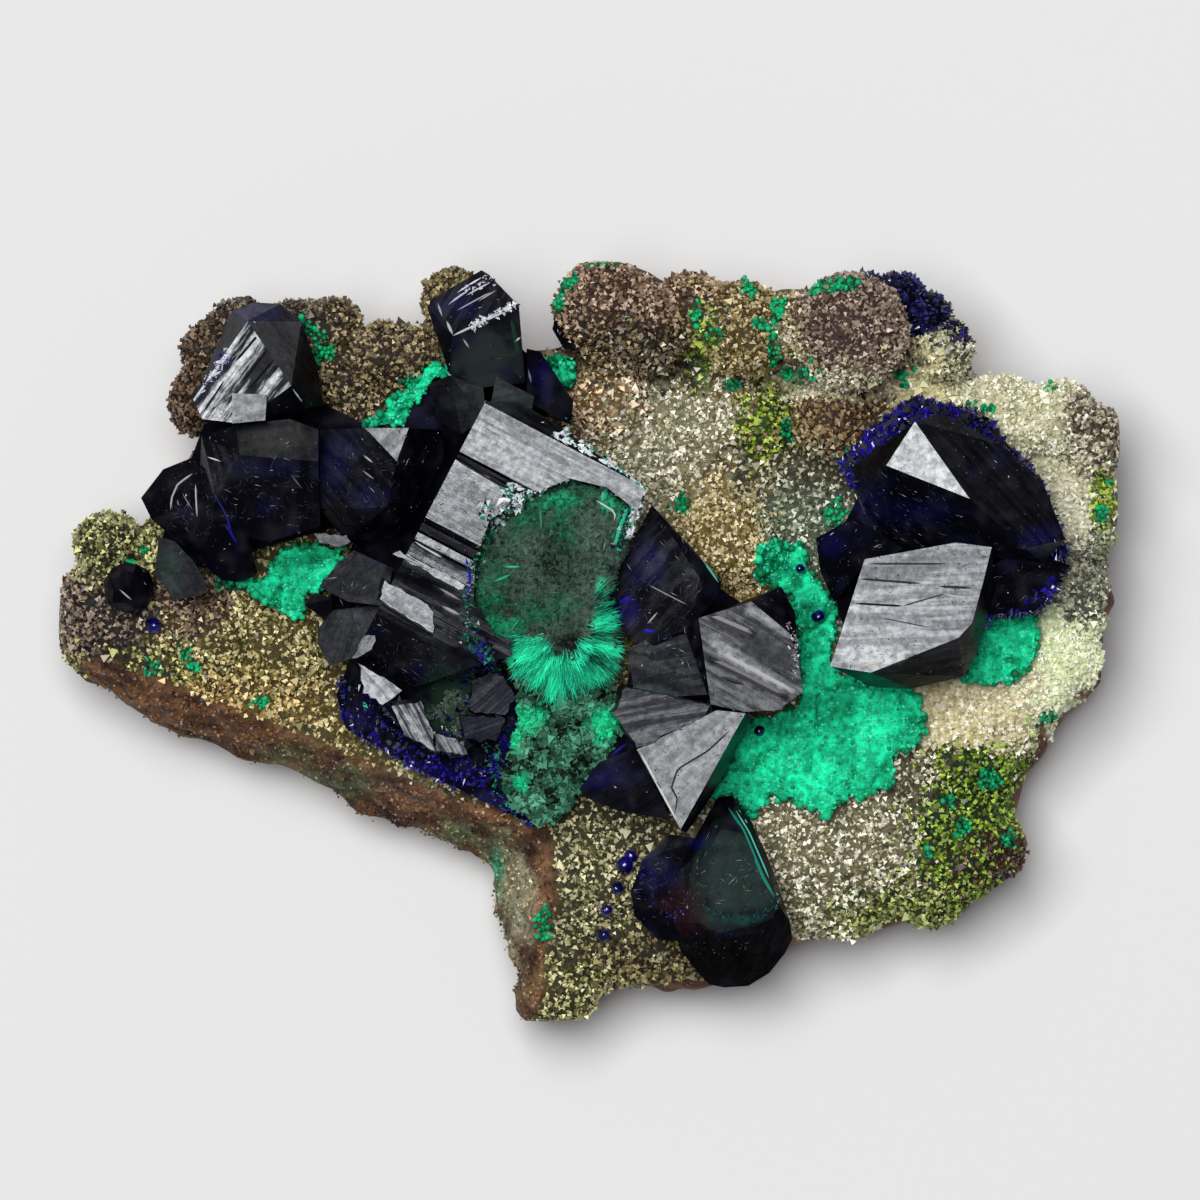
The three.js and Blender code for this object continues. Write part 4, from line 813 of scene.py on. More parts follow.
def crystal_piece(name):
    """A CAD node's own faces, joined and cut into small triangles that stay in them. Each face has the
    polish, roughness and growth lines of the nearest row of the table; dark blue, clearer in some
    places, is mixed with coat colours and, on the lower crystal's low faces, with painted shade.
    The lines run along their angle and down the sides."""
    work = welded(name)
    bmesh.ops.dissolve_limit(work, angle_limit=math.radians(0.4), verts=work.verts, edges=work.edges)
    own = work.faces.layers.int.new("own")
    middles = []
    for place, face in enumerate(work.faces):
        face[own] = place
        middles.append([*face.calc_center_median_weighted() / MM, *face.normal])
    middles = np.array(middles)
    bmesh.ops.triangulate(work, faces=work.faces)
    for longest in (4, 2, 1, 0.5):
        for _ in range(3):
            edges = [e for e in work.edges if e.calc_length() > longest * MM]
            if not edges or len(work.faces) > MOST_CRYSTAL_FACES:
                break
            bmesh.ops.subdivide_edges(work, edges=edges, cuts=1)
            bmesh.ops.triangulate(work, faces=work.faces)
    mesh = bpy.data.meshes.new(name + "_look")
    work.to_mesh(mesh)
    work.free()
    corner = np.empty(len(mesh.loops), np.int32)
    mesh.loops.foreach_get("vertex_index", corner)
    points = places_of(mesh)[corner]
    face_of = np.empty(len(mesh.polygons), np.int32)
    mesh.attributes["own"].data.foreach_get("value", face_of)
    face_of = np.repeat(face_of, 3)
    mesh.polygons.foreach_set("use_smooth", np.zeros(len(mesh.polygons), bool))

    table = np.array(FACES)
    away = np.hypot(middles[:, None, 0] - table[:, 0], middles[:, None, 1] - table[:, 1])
    nearest = away.argmin(axis=1)
    named = (away.min(axis=1) < FACE_REACH) & (middles[:, 5] > 0.25)
    root_top = (middles[:, 5] > 0.999) & (middles[:, 2] < ROOT_TOP)
    polish = np.where(named, table[nearest, 2], 0.04 * np.clip(middles[:, 5] / 0.5, 0.1, 1))
    polish *= np.where(root_top, 0.3, 1)
    rough = np.where(named, table[nearest, 3], 0.3) + np.where(root_top, 0.3, 0)
    cut = np.where(named, table[nearest, 4], 0.5)
    angle, wave = np.radians(table[nearest, 5])[face_of], table[nearest, 6][face_of]

    patch = noise(points, 1.8, 1.0) + 0.6 * noise(points, 0.8, 2.0)
    strength = np.array([row[4] for row in BLUE_PLACES])
    blue = (spots(points, BLUE_PLACES, 0.7) * strength).max(axis=1) + 0.25 * np.clip(patch - 0.4, 0, 1)
    tint = mixed("06060d", "181258", blue)
    dusty = 0.45 * np.clip(noise(points, 0.7, 6.0) + 0.2 * patch, 0, 1)
    tint += (linear("2c2c34") - tint) * dusty[:, None]
    finish = np.stack([
        rough[face_of] + 0.05 * patch, polish[face_of] * (1 + 0.18 * patch), cut[face_of],
    ], axis=1)
    large = np.clip((points[:, 0] - 17.5) / 9, 0, 1) * (points[:, 2] > 19) * (np.abs(points[:, 1] - 2.5) < 4)
    finish[:, 1] *= 1 - 0.35 * large
    for x1, y1, x2, y2, width, shine in BANDS:
        span = np.array([x2 - x1, y2 - y1])
        rest = points[:, :2] - (x1, y1)
        along = np.clip(rest @ span / (span @ span), 0, 1)
        off = np.hypot(*(rest - along[:, None] * span).T) + 0.08 * noise(points, 0.4, 9.0)
        share = eased(np.clip((width / 2 + 0.1 - off) / 0.2, 0, 1)) * (named[face_of] | (shine < 0.1))
        finish[:, 1] += (shine * (1 + 0.25 * patch) - finish[:, 1]) * share
        finish[:, 2] *= 1 - 0.6 * share
    # coat colours, and painted shade on the lower crystal's low faces
    coat_and_shade = spots(points, COATS_AND_SHADE, 0.6)
    for share, (_, _, _, _, lowest, code, most) in zip(coat_and_shade.T, COATS_AND_SHADE):
        share = most * share * (points[:, 2] > lowest)
        tint += (linear(code) - tint) * share[:, None]
    paint(mesh, "tint", tint, "CORNER")
    paint(mesh, "finish", np.clip(finish, 0.005, 1), "CORNER")
    across, along = turned(points, angle)
    ruled(mesh, np.stack([across / wave + 7 * face_of, along + points[:, 2]], axis=1))
    mesh.materials.append(AZURITE)
    piece = in_scene(name + "_look", mesh)
    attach(piece, "root")
    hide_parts(name)


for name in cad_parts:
    if name.startswith("azurite"):
        crystal_piece(name)

# Lines on the crystals: width, colour and the points each line passes. Most pale lines are painted
# highlights, glints on edges, growth steps and cracks, and a few are white fibres; dark lines are
# growth lines and cracks, blue and green ones bands of colour
STROKES = [
    # upper left crystal and the blocks below it
    (0.11, "e0e0e8", -19.7, 16.8, -18.8, 15.5),
    (0.14, "b0b0a8", -27.9, 8.8, -27.8, 9.6, -27.4, 10.5, -26.4, 11.2),
    (0.12, "b8b8b4", -26.2, 10.5, -26.1, 8.3), (0.08, "808078", -27.1, 9.9, -26.4, 8.8),
    (0.1, "d0d0d0", -25.4, 12.3, -24.5, 12), (0.1, "c8c8d4", -15, 12.4, -14.4, 11.9),
    (0.1, "9090a8", -15.1, 11.4, -14.3, 10.8), (0.08, "60606c", -19.8, 11.1, -19.1, 10.2),
    (0.1, "b8b8bc", -31.3, 3.5, -30.5, 2.8), (0.1, "120e78", -25, 10, -24.2, 8.6, -23.8, 7.4),
    (0.2, "120e78", -24.2, 8, -23.7, 7, -23.4, 6.5), (0.16, "06060c", -23.5, 18.6, -21.9, 20.5),
    (0.2, "06060c", -23, 17.3, -21.4, 19.4), (0.14, "06060c", -22.5, 16.9, -21, 18.7),
    (0.12, "06060c", -25.6, 15.3, -24.2, 17.4), (0.14, "d0d0d8", -24.9, 18.3, -24.2, 18.9),
    (0.14, "d8d8dc", -25.1, 17.6, -24.4, 18),
    # upper crystal of the centre group, its pale lines painted highlights
    (0.14, "e0e0ea", -8.8, 23.2, -7.2, 24.2), (0.12, "d0d0da", -8.2, 23, -6.2, 24.1),
    (0.16, "c0c0cc", -9.4, 22.4, -8, 23.4), (0.1, "b0b0bc", -7.4, 22.6, -5.8, 23.6),
    (0.1, "a8a8b8", -8.8, 22, -6.6, 23.2), (0.14, "c8c8d4", -9.1, 20.3, -7.4, 21.1, -5.2, 22.1),
    (0.14, "d8d8de", -6.6, 21.6, -4.7, 22.4), (0.12, "d0d0d0", -5, 19.9, -4.6, 20.2),
    (0.12, "a0a0ac", -8.4, 20.1, -8, 19.5), (0.12, "a0a0b4", -10.1, 22.5, -9.8, 21.6),
    (0.18, "b0b0c0", -9.5, 21.3, -9.1, 20.4), (0.16, "8488a4", -4.2, 18.6, -3.9, 17.2),
    (0.25, "06301e", -5.2, 21.4, -4.7, 19),
    # stepped crystal: dark growth lines on its plates, and a ragged rim of painted glints beside the
    # malachite
    (0.12, "3a3a3e", -6.8, 15.6, -4, 13.8), (0.24, "101014", -9.3, 12.7, -4.6, 9.6),
    (0.14, "202024", -9.2, 12.3, -5.3, 10), (0.1, "404044", -7.8, 14.5, -6.1, 13.3),
    (0.14, "303034", -6.4, 12.5, -4.9, 11.4), (0.1, "34343a", -3.6, 13.6, -2.2, 12.6),
    (0.1, "404048", -5.4, 14.6, -3.2, 13),
    (0.3, "f0f0f4", -6.2, 9, -5.9, 9.4, -5.2, 9.5, -4.7, 9, -4.6, 8.5),
    (0.24, "d4d4dc", -4.2, 9.7, -3.9, 10.2, -3.2, 11, -2.3, 11.1, -2.1, 10.8),
    (0.25, "e8eef6", -1, 12.3, 0.4, 10.9), (0.2, "e8eef6", -0.6, 12.5, 0.9, 11.2),
    (0.25, "d8e0ec", -2.2, 11, -1, 11.6), (0.2, "101014", -11.9, 8.2, -8.1, 5.8),
    (0.14, "d8d8d8", -12.3, 7.1, -9.8, 5.6), (0.2, "08080c", -13.8, 2.5, -10.4, 0.4),
    (0.16, "8c8c90", -10, 3.6, -8.6, 2.8), (0.2, "9c9ca4", -9.8, 2.4, -8.6, 1.8),
    (0.2, "1c14a0", -8.2, 5.6, -7.9, 4.2, -8.2, 2.8),
    # malachite edge and marks on it; its white lines are painted glints
    (0.14, "e0f0f0", 3.5, 9.9, 2.9, 8.6, 2.2, 7.2), (0.22, "24b890", 3.1, 10, 2.5, 8.9, 1.9, 7.4, 1.7, 6.4),
    (0.12, "b8c4c0", 2.5, 7.3, 2.3, 7.8), (0.12, "d0e0d8", 0.4, 9.4, 1.7, 8.6, 1.6, 8),
    (0.4, "1ca880", 1.1, 10.2, 0.8, 9.3), (0.14, "3c8c6c", -3.3, 9, -3.2, 7.4),
    (0.12, "7c9488", 1, 6.7, 0.9, 6), (0.16, "34b888", -5.7, 5, -4.6, 5),
    (0.16, "2ca878", -6.4, 4, -5.2, 4.5), (0.3, "1ca878", -2.3, 10.6, 0.6, 10.8),
    (0.12, "3c9c78", -4.6, 1.6, -5.4, 0.6),
    # rough mass below
    (0.1, "14141c", -11.2, -4.2, -11.9, -6), (0.1, "14141c", -12.2, -4.3, -12.6, -5.5),
    (0.3, "30c09c", -15.1, -4, -14.8, -4.4),
    # middle crystals
    (0.1, "c0c0c4", 3.8, 1.2, 4.5, 2), (0.08, "a0a0a0", 3.9, 3.8, 6.4, 2.5),
    (0.14, "50c8a8", 7, 6.1, 8.8, 3.6), (0.25, "2018b0", 1.9, 2.6, 2.7, 3),
    (0.2, "2018b0", 1.6, 1.8, 2.3, 2), (0.2, "2018c0", 3.5, 0.8, 4.3, 0.7),
    (0.2, "d0e0d8", 5.8, 7.6, 6.2, 6.6), (0.5, "141418", 8, 1.7, 10.8, 0.5),
    (0.45, "18181c", 7.9, -1.1, 10.2, -2.2, 13.1, -3.7), (0.3, "1c1c20", 8.7, -2.3, 10.2, -2.8),
    (0.25, "b0b0b4", 8.7, -0.7, 13.4, -3.2), (0.12, "d8d8d8", 13.1, -0.2, 13.3, -0.5),
    (0.12, "303034", 9.3, -5.8, 7.8, -7.2, 5.8, -8.4, 5.4, -9.6, 5.8, -10.4, 5.6, -11.4),
    (0.14, "303034", 4.2, -9, 4.8, -9.8, 4.7, -10.8, 5.4, -11.7), (0.12, "e0e0e0", 3.3, -7.2, 5.8, -11.9),
    (0.4, "6c60d8", 1.7, -4.2, 2.2, -5.3), (0.16, "281c90", 2.5, -6.7, 1, -7.9),
    # right crystals
    (0.12, "38383c", 18.5, 5.2, 23.6, 5.2), (0.14, "303034", 17.9, 4.2, 21.9, 3.9),
    (0.14, "1c1c20", 17.2, 2.6, 20.7, 2.4), (0.16, "2c2c30", 23.1, 3.7, 25.2, 3.6),
    (0.1, "484850", 20.7, 2.4, 23.4, 3.2), (0.08, "50545a", 19.4, 1.6, 22.4, 1),
    (0.1, "d0d8dc", 23.3, 3.2, 25, 2.9), (0.16, "d0c8b0", 17.8, -1.6, 19.4, -1.3),
    (0.2, "16806c", 9.2, -11, 10.2, -12.5, 11.5, -15.6, 12.3, -17),
    (0.12, "60d0c0", 9.7, -11.2, 10.6, -12.7, 11.9, -15.7),
]


def crystal_tops():
    """The corners of all triangles that face up on the crystals and on the malachite in the stepped one,
    as three arrays in millimetres."""
    corners = []
    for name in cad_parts:
        if name.startswith("azurite") or name == "malachite_in_centre_crystal":
            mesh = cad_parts[name].data
            corners.append(places_of(mesh)[triangles_of(mesh)])
    corners = np.concatenate(corners)
    area = np.cross(corners[:, 1, :2] - corners[:, 0, :2], corners[:, 2, :2] - corners[:, 0, :2])
    corners = corners[area > 1e-6]
    return corners[:, 0], corners[:, 1], corners[:, 2]


TOPS = crystal_tops()
NO_CRYSTAL = 12.0


def heights_met(x, y):
    """The height of the highest crystal over each place. Seen from above, a place is inside a triangle
    where its three area shares are all positive, and its height is the mean of the corners' heights
    weighted by them; outside all triangles it is a little below the druse."""
    a, b, c = TOPS
    place = np.stack([x, y], axis=-1)[:, None, :]
    whole = np.cross(b[:, :2] - a[:, :2], c[:, :2] - a[:, :2])
    share_a = np.cross(b[:, :2] - place, c[:, :2] - place) / whole
    share_b = np.cross(c[:, :2] - place, a[:, :2] - place) / whole
    share_c = 1 - share_a - share_b
    inside = (share_a >= 0) & (share_b >= 0) & (share_c >= 0)
    height = share_a * a[:, 2] + share_b * b[:, 2] + share_c * c[:, 2]
    return np.where(inside, height, NO_CRYSTAL).max(axis=1)


def distances(line):
    """How far along a line each of its points lies."""
    return np.concatenate([[0], np.cumsum(np.hypot(*np.diff(line, axis=0).T))])


def stroke_piece(table):
    """Thin ridges laid on the crystals: along each line of points a strip that tapers to both ends, its
    middle a little higher than its sides, closed below; each point sits on the surface met from above,
    and of a line that crosses a drop only the longest part is kept."""
    all_points, all_faces, all_tints, count = [], [], [], 0
    for width, code, *line in table:
        line = np.reshape(line, (-1, 2))
        steps = distances(line)
        at = np.linspace(0, steps[-1], max(4, int(steps[-1] / 0.35)))
        x, y = np.interp(at, steps, line[:, 0]), np.interp(at, steps, line[:, 1])
        z = heights_met(x, y)
        runs = np.split(np.arange(len(z)), np.flatnonzero(np.abs(np.diff(z)) > 1.0) + 1)
        runs = [run for run in runs if len(run) > 1 and z[run[0]] > NO_CRYSTAL]
        if not runs:
            continue
        run = max(runs, key=len)
        x, y, z = x[run], y[run], z[run]
        direction = unit(np.stack([np.gradient(x), np.gradient(y), 0 * x], axis=1))
        side = np.stack([-direction[:, 1], direction[:, 0], 0 * x], axis=1)
        taper = np.clip(0.15 + 2.4 * np.sin(math.pi * np.linspace(0, 1, len(x))), 0, 1)
        side = side * (taper[:, None] * width / 2)
        middle = np.stack([x, y, z + 0.02], axis=1)
        ring = np.stack([
            middle - side, middle + [0, 0, 0.05], middle + side, middle - [0, 0, 0.15],
        ], axis=1)
        rows = np.arange(len(x) - 1)[:, None]
        turn = np.arange(4)[None, :]
        a, b = rows * 4 + turn, rows * 4 + (turn + 1) % 4
        faces = np.concatenate([
            np.stack([a, a + 4, b + 4], axis=-1).reshape(-1, 3),
            np.stack([a, b + 4, b], axis=-1).reshape(-1, 3),
            [(0, 1, 2), (0, 2, 3)], np.array([(0, 2, 1), (0, 3, 2)]) + 4 * (len(x) - 1),
        ])
        all_points.append(ring.reshape(-1, 3))
        all_faces.append(faces + count)
        all_tints.append(np.tile(linear(code), (len(x) * 4, 1)))
        count += len(x) * 4
    points, faces, tints = (np.concatenate(parts) for parts in (all_points, all_faces, all_tints))
    mesh_piece("crystal_lines_and_glints", points, faces, LINES, tints)


stroke_piece(STROKES)

# Level facets of the rough mass, the stepped crystal and its neighbours: polish, how far lines cut
# it, their angle and the places of the corners in order around the facet
FACETS = [
    (0.62, 0.5, -50, -15.3, -1.45, -15.1, -3.3, -13.7, -4.1, -12.5, -3.2, -14.4, -1.9),
    (0.5, 0.9, -60, -13.2, -4.2, -12.3, -6.1, -10.3, -7.2, -10.5, -5.9, -11.2, -3.9),
    (0.34, 0.9, -60, -10.4, -6, -10.2, -7.2, -8.2, -7.5, -8.4, -6.6),
    (0.3, 0.2, 60, -15.8, -1.1, -14.5, -0.6, -14.2, 0.4, -15, 0.4),
    (0.06, 0.6, 40, -7.8, -2.6, -8, -4.6, -5.6, -4.8, -4.9, -3.6, -6.2, -1.8),
    (0.05, 0.6, 20, -8.6, -4.9, -8.4, -6.4, -6.2, -6.6, -5.6, -5),
    (0.2, 0.7, 10, 2.35, -2.95, 1.6, -4.65, 3.2, -7, 7.6, -4.9, 7.9, -4.2),
    (0.62, 0.35, -27.7, -13.6, 4.07, -13.9, 2.8, -10.4, 0.67, -10.3, 1.9, -10.94, 2.58),
    (0.6, 0.3, -27.7, -13, 5.88, -10.83, 4.71, -8.6, 3.43, -8.28, 3.75, -8.7, 4.18, -12.64, 6.09),
    (0.2, 0.2, 0, -18.3, 7.2, -17.9, 6.6, -16.6, 6.4, -15.9, 6.7, -16.2, 7.1),
]


def facet_piece(number, polish, cut, angle, *corners):
    """A flat closed slab over corners, its edges a little ragged: its top 0.15 mm above the highest of
    the places met from above at its corners, its lower ring 0.3 mm below the lowest one."""
    corners = np.reshape(corners, (-1, 2))
    met = heights_met(*corners.T)
    sides = np.roll(corners, -1, axis=0) - corners
    corners = np.concatenate([
        corner + side * np.arange(pieces)[:, None] / pieces + 0.06 * rng.normal(size=(pieces, 2))
        for corner, side, pieces in zip(corners, sides, np.ceil(np.hypot(*sides.T) / 0.4).astype(int))
    ])
    count = len(corners)
    levels = (max(met) + 0.15, min(met) - 0.3)
    ring = np.concatenate([np.column_stack([corners, np.full(count, level)]) for level in levels])
    ring[count:, :2] += 0.15 * (ring[count:, :2] - corners.mean(axis=0))
    ring = np.concatenate([ring, [ring[:count].mean(axis=0), ring[count:].mean(axis=0)]])
    step = np.arange(count)
    after = (step + 1) % count
    fan = np.stack([np.full(count, 2 * count), step, after], axis=1)
    under = np.stack([np.full(count, 2 * count + 1), after + count, step + count], axis=1)
    sides = np.concatenate([
        np.stack([step, step + count, after + count], axis=1),
        np.stack([step, after + count, after], axis=1),
    ])
    faces = np.concatenate([fan, under, sides])
    tint = np.tile(linear("0a0a1c"), (len(ring), 1))
    mesh = mesh_piece(f"azurite_facet_{number}", ring, faces, AZURITE, tint).data
    paint(mesh, "finish", np.tile([0.3, polish, cut], (len(ring), 1)), "POINT")
    lines = np.stack(turned(ring, math.radians(angle)), axis=1) + 5 * number
    ruled(mesh, lines[faces.ravel()])


for number, row in enumerate(FACETS):
    facet_piece(number + 1, *row)


def refined(name):
    """A CAD node as an even closed surface: its faces joined, then rebuilt on a fine grid."""
    work = welded(name)
    mesh = bpy.data.meshes.new("work")
    work.to_mesh(mesh)
    work.free()
    holder = in_scene("work", mesh)
    remesh = holder.modifiers.new("even", "REMESH")
    remesh.mode = "VOXEL"
    remesh.voxel_size = MALACHITE_CELL * MM
    bpy.context.view_layer.update()
    graph = bpy.context.evaluated_depsgraph_get()
    even = bpy.data.meshes.new_from_object(holder.evaluated_get(graph))
    points, faces = places_of(even), triangles_of(even)
    bpy.data.objects.remove(holder)
    bpy.data.meshes.remove(even)
    bpy.data.meshes.remove(mesh)
    return points, faces


crust_points = []
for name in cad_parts:
    if name.startswith("malachite_crust"):
        points, faces = refined(name)
        normals = point_normals(points, faces)
        soft = noise(points, 2.4, 2.0)
        pebbles = noise(points, 0.6, 5.0) + 0.5 * noise(points, 0.3, 8.0)
        cracks = np.clip(0.12 - np.abs(noise(points, 2.0, 3.0)), 0, 0.12) / 0.12
        points += normals * (0.2 * pebbles + 0.16 * soft - 0.4 * cracks - 0.08)[:, None]
        # Lighter on raised pebbles, darker in the sunk cracks: painted light and shade over its own mottling
        tint = mixed("006c48", "1cf8b4", 0.5 + 0.34 * pebbles + 0.3 * soft - 0.4 * cracks)
        crust = mesh_piece(name + "_look", points, faces, MALACHITE, tint, smooth=True)
        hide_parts(name)
        crust_points.append(points)
        top = np.flatnonzero((normals[:, 2] > 0.1) & (rng.random(len(points)) < 0.35))
        shade = 0.42 + 0.34 * pebbles[top] + 0.25 * soft[top]
        scatter_piece(
            name + "_felt", BALL, points[top] - 0.05 * normals[top], normals[top],
            rng.uniform(0.16, 0.34, len(top)), 0.5,
            mixed("008858", "48ffc8", shade + 0.25 * rng.normal(size=len(top))),
            GREEN_GRAIN, smooth=True,
        )
        # The balls on the crust's sides are darker than those on top: painted shade on its margins
        side = np.flatnonzero((np.abs(normals[:, 2]) < 0.6) & (rng.random(len(points)) < 0.14))
        scatter_piece(
            name + "_edge", BALL, points[side] + 0.12 * normals[side], normals[side],
            rng.uniform(0.3, 0.7, len(side)), 0.5,
            mixed("006a40", "18e0a0", 0.4 + 0.3 * pebbles[side] + 0.3 * rng.normal(size=len(side))),
            GREEN_GRAIN, smooth=True,
        )

# The malachite in the stepped crystal: a dull flat top, a fan of needles below it and loose crumbs;
# the middle of the fan, and places with x, y and half sizes
FAN_X, FAN_Y = -1.7, 0.2
TOP_RIM = [
    (-2.2, 9.4, 1.6, 0.6), (1.3, 9.3, 0.8, 0.6), (-5.8, 1, 1.2, 0.7), (2.2, 9, 0.4, 0.9),
    (-4.8, -6, 0.5, 1), (-3.9, -4.9, 0.8, 1), (0.6, -5.2, 1, 0.8),
]
TOP_GREEN = [
    (-6.8, 3.2, 1.2, 2.4), (-4.8, 8.4, 1.6, 1.2), (0.6, 10.2, 2.2, 0.8), (-5.6, 0.4, 1.8, 1.4),
    (-2.8, 2.2, 2, 0.9), (-1.8, 7.2, 1, 1.4),
]
BRIGHT_CRUMBS = [
    (-4, -5.1, 0.9, 0.8), (-5, -6.6, 0.4, 0.8), (0.9, -5.4, 0.9, 1.2), (-4.6, -9.4, 0.5, 0.6),
]
points, faces = refined("malachite_in_centre_crystal")
normals = point_normals(points, faces)
px = points[:, 0] + 0.5 * noise(points, 1.6, 3.0)
py = points[:, 1] + 0.5 * noise(points, 1.6, 7.0)
reach = np.hypot(px - FAN_X, py - FAN_Y)
turn = np.arctan2(px - FAN_X, FAN_Y - py)
fan = eased(np.clip((reach - 1.15) / 0.5, 0, 1)) * eased(np.clip((4.3 - reach) / 0.9, 0, 1))
fan *= eased(np.clip((1.75 - np.abs(turn)) / 0.3, 0, 1))
fan = np.maximum(fan, spots(points, [(1.1, 1.6, 0.7, 1.9)], 0.6)[:, 0])
low_part = eased(np.clip((-2.6 - py) / 0.8, 0, 1)) * (1 - fan)
top_part = np.clip(1 - fan - low_part, 0, 1)
hollow = eased(np.clip(1.5 - np.hypot((px + 1.5) / 1.2, (py + 0.2) / 0.8), 0, 1))
ribs = noise(np.stack([turn * 7, reach * 0.35, 0 * turn], axis=1), 1.0, 3.0)
finer = 0.6 * noise(np.stack([turn * 17, reach * 0.6, 0 * turn], axis=1), 1.0, 8.0)
ribs += finer + 0.7 * noise(points, 1.3, 6.0)
crumbs = noise(points, 0.9, 5.0) + 0.7 * noise(points, 0.45, 8.0)
mottle = noise(points, 2.2, 1.0) + 0.5 * noise(points, 0.7, 2.0)
points += normals * (
    0.28 * fan * ribs + 0.34 * low_part * crumbs + 0.05 * top_part * crumbs - 0.7 * hollow - 0.14
)[:, None]
# The fan is lighter on its raised ribs and darker between them: painted shade between the fibres, over their
# own streaks
tint = (
    mixed("0c1e16", "4c6458", 0.5 + 0.3 * mottle + 0.12 * crumbs) * top_part[:, None]
    + mixed("005a3c", "34ecb8", 0.5 + 0.5 * ribs) * fan[:, None]
    + mixed("04120a", "34604c", 0.35 + 0.4 * crumbs) * low_part[:, None]
) / (top_part + fan + low_part)[:, None]
rim = spots(points, TOP_RIM, 0.5).max(axis=1)
tint += (linear("10a070") - tint) * 0.7 * rim[:, None]
green = spots(points, TOP_GREEN, 0.5).max(axis=1)
green *= np.clip(0.6 + 0.6 * crumbs, 0, 1) * top_part
tint += (linear("0a5c3c") - tint) * 0.75 * green[:, None]
# The hollow at the middle of the fan is painted nearly black as well as sunk: painted shade
tint *= (1 - 0.9 * hollow)[:, None]
fill = mesh_piece("malachite_fill_look", points, faces, MALACHITE, tint, smooth=True)
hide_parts("malachite_in_centre_crystal")
seat_index = np.flatnonzero((normals[:, 2] > 0.3) & (rng.random(len(points)) < 1.6 * fan))
seat_index = np.repeat(seat_index, 3)
seat = points[seat_index] + rng.normal(scale=0.1, size=(len(seat_index), 3))
outward = unit(np.stack([seat[:, 0] - FAN_X, seat[:, 1] - 0.9, 0.2 + 0 * seat[:, 0]], axis=1))
# the needles are lighter over the raised ribs: the same painted light and shade
needle = 0.5 + 0.45 * ribs[seat_index] + 0.15 * rng.normal(size=len(seat))
scatter_piece(
    "malachite_needles", NEEDLE, seat, outward, rng.uniform(0.4, 0.8, len(seat)), 0.2,
    mixed("003424", "2cffc4", needle), GREEN_GRAIN,
)
seat_index = np.flatnonzero((normals[:, 2] > 0.1) & (rng.random(len(points)) < 0.9 * low_part))
seat_index = np.repeat(seat_index, 2)
seat = points[seat_index] + rng.normal(scale=0.12, size=(len(seat_index), 3))
crumb = 0.05 + 0.35 * crumbs[seat_index] + 0.55 * rng.random(len(seat)) ** 2
crumb_tint = mixed("03140c", "6cc49c", crumb)
bright = spots(seat, BRIGHT_CRUMBS, 0.6).max(axis=1)[:, None]
lit = linear("18e09c") * (0.5 + 0.8 * rng.random((len(seat), 1)))
crumb_tint += (lit - crumb_tint) * 0.85 * bright
scatter_piece(
    "malachite_crumbs", SPECK, seat, normals[seat_index], rng.uniform(0.25, 0.5, len(seat)), 0.7,
    crumb_tint, GREEN_GRAIN,
)
seat_index = np.flatnonzero((normals[:, 2] > 0.3) & (rng.random(len(points)) < 0.8 * top_part))
seat = points[seat_index] + rng.normal(scale=0.06, size=(len(seat_index), 3)) - 0.03 * normals[seat_index]
fleck = 0.3 + 0.3 * mottle[seat_index] + 0.16 * rng.normal(size=len(seat))
fleck_tint = mixed("0c1e16", "56705f", fleck)
lit = linear("0c8c5c") * (0.4 + 0.9 * rng.random((len(seat), 1)))
fleck_tint += (lit - fleck_tint) * 0.8 * rim[seat_index][:, None]
lit = linear("0c7850") * (0.2 + rng.random((len(seat), 1)))
fleck_tint += (lit - fleck_tint) * 0.8 * green[seat_index][:, None]
# painted shade in the hollow
fleck_tint *= (1 - 0.9 * hollow[seat_index])[:, None]
scatter_piece(
    "malachite_flecks", SPECK, seat, normals[seat_index], rng.uniform(0.15, 0.35, len(seat)), 0.3,
    fleck_tint, GREEN_GRAIN,
)


def sprinkled(name, each, low_z, high_z, places=None):
    """Random points on a CAD node between two heights and, where places are given, inside them: a
    triangle is drawn by its area, then a point in it from two random numbers folded to sum below one."""
    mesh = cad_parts[name].data
    corners = places_of(mesh)
    a, b, c = (corners[column] for column in triangles_of(mesh).T)
    cross = np.cross(b - a, c - a)
    area = np.linalg.norm(cross, axis=1) / 2
    pick = rng.choice(len(area), int(area.sum() * each), p=area / area.sum())
    u, v = rng.random((2, len(pick), 1))
    folded = u + v > 1
    u, v = np.where(folded, 1 - u, u), np.where(folded, 1 - v, v)
    at = a[pick] + u * (b - a)[pick] + v * (c - a)[pick]
    keep = (at[:, 2] > low_z) & (at[:, 2] < high_z)
    if places:
        keep &= spots(at, places, 0.8).max(axis=1) > 0.5
    return at[keep], unit(cross[pick])[keep]


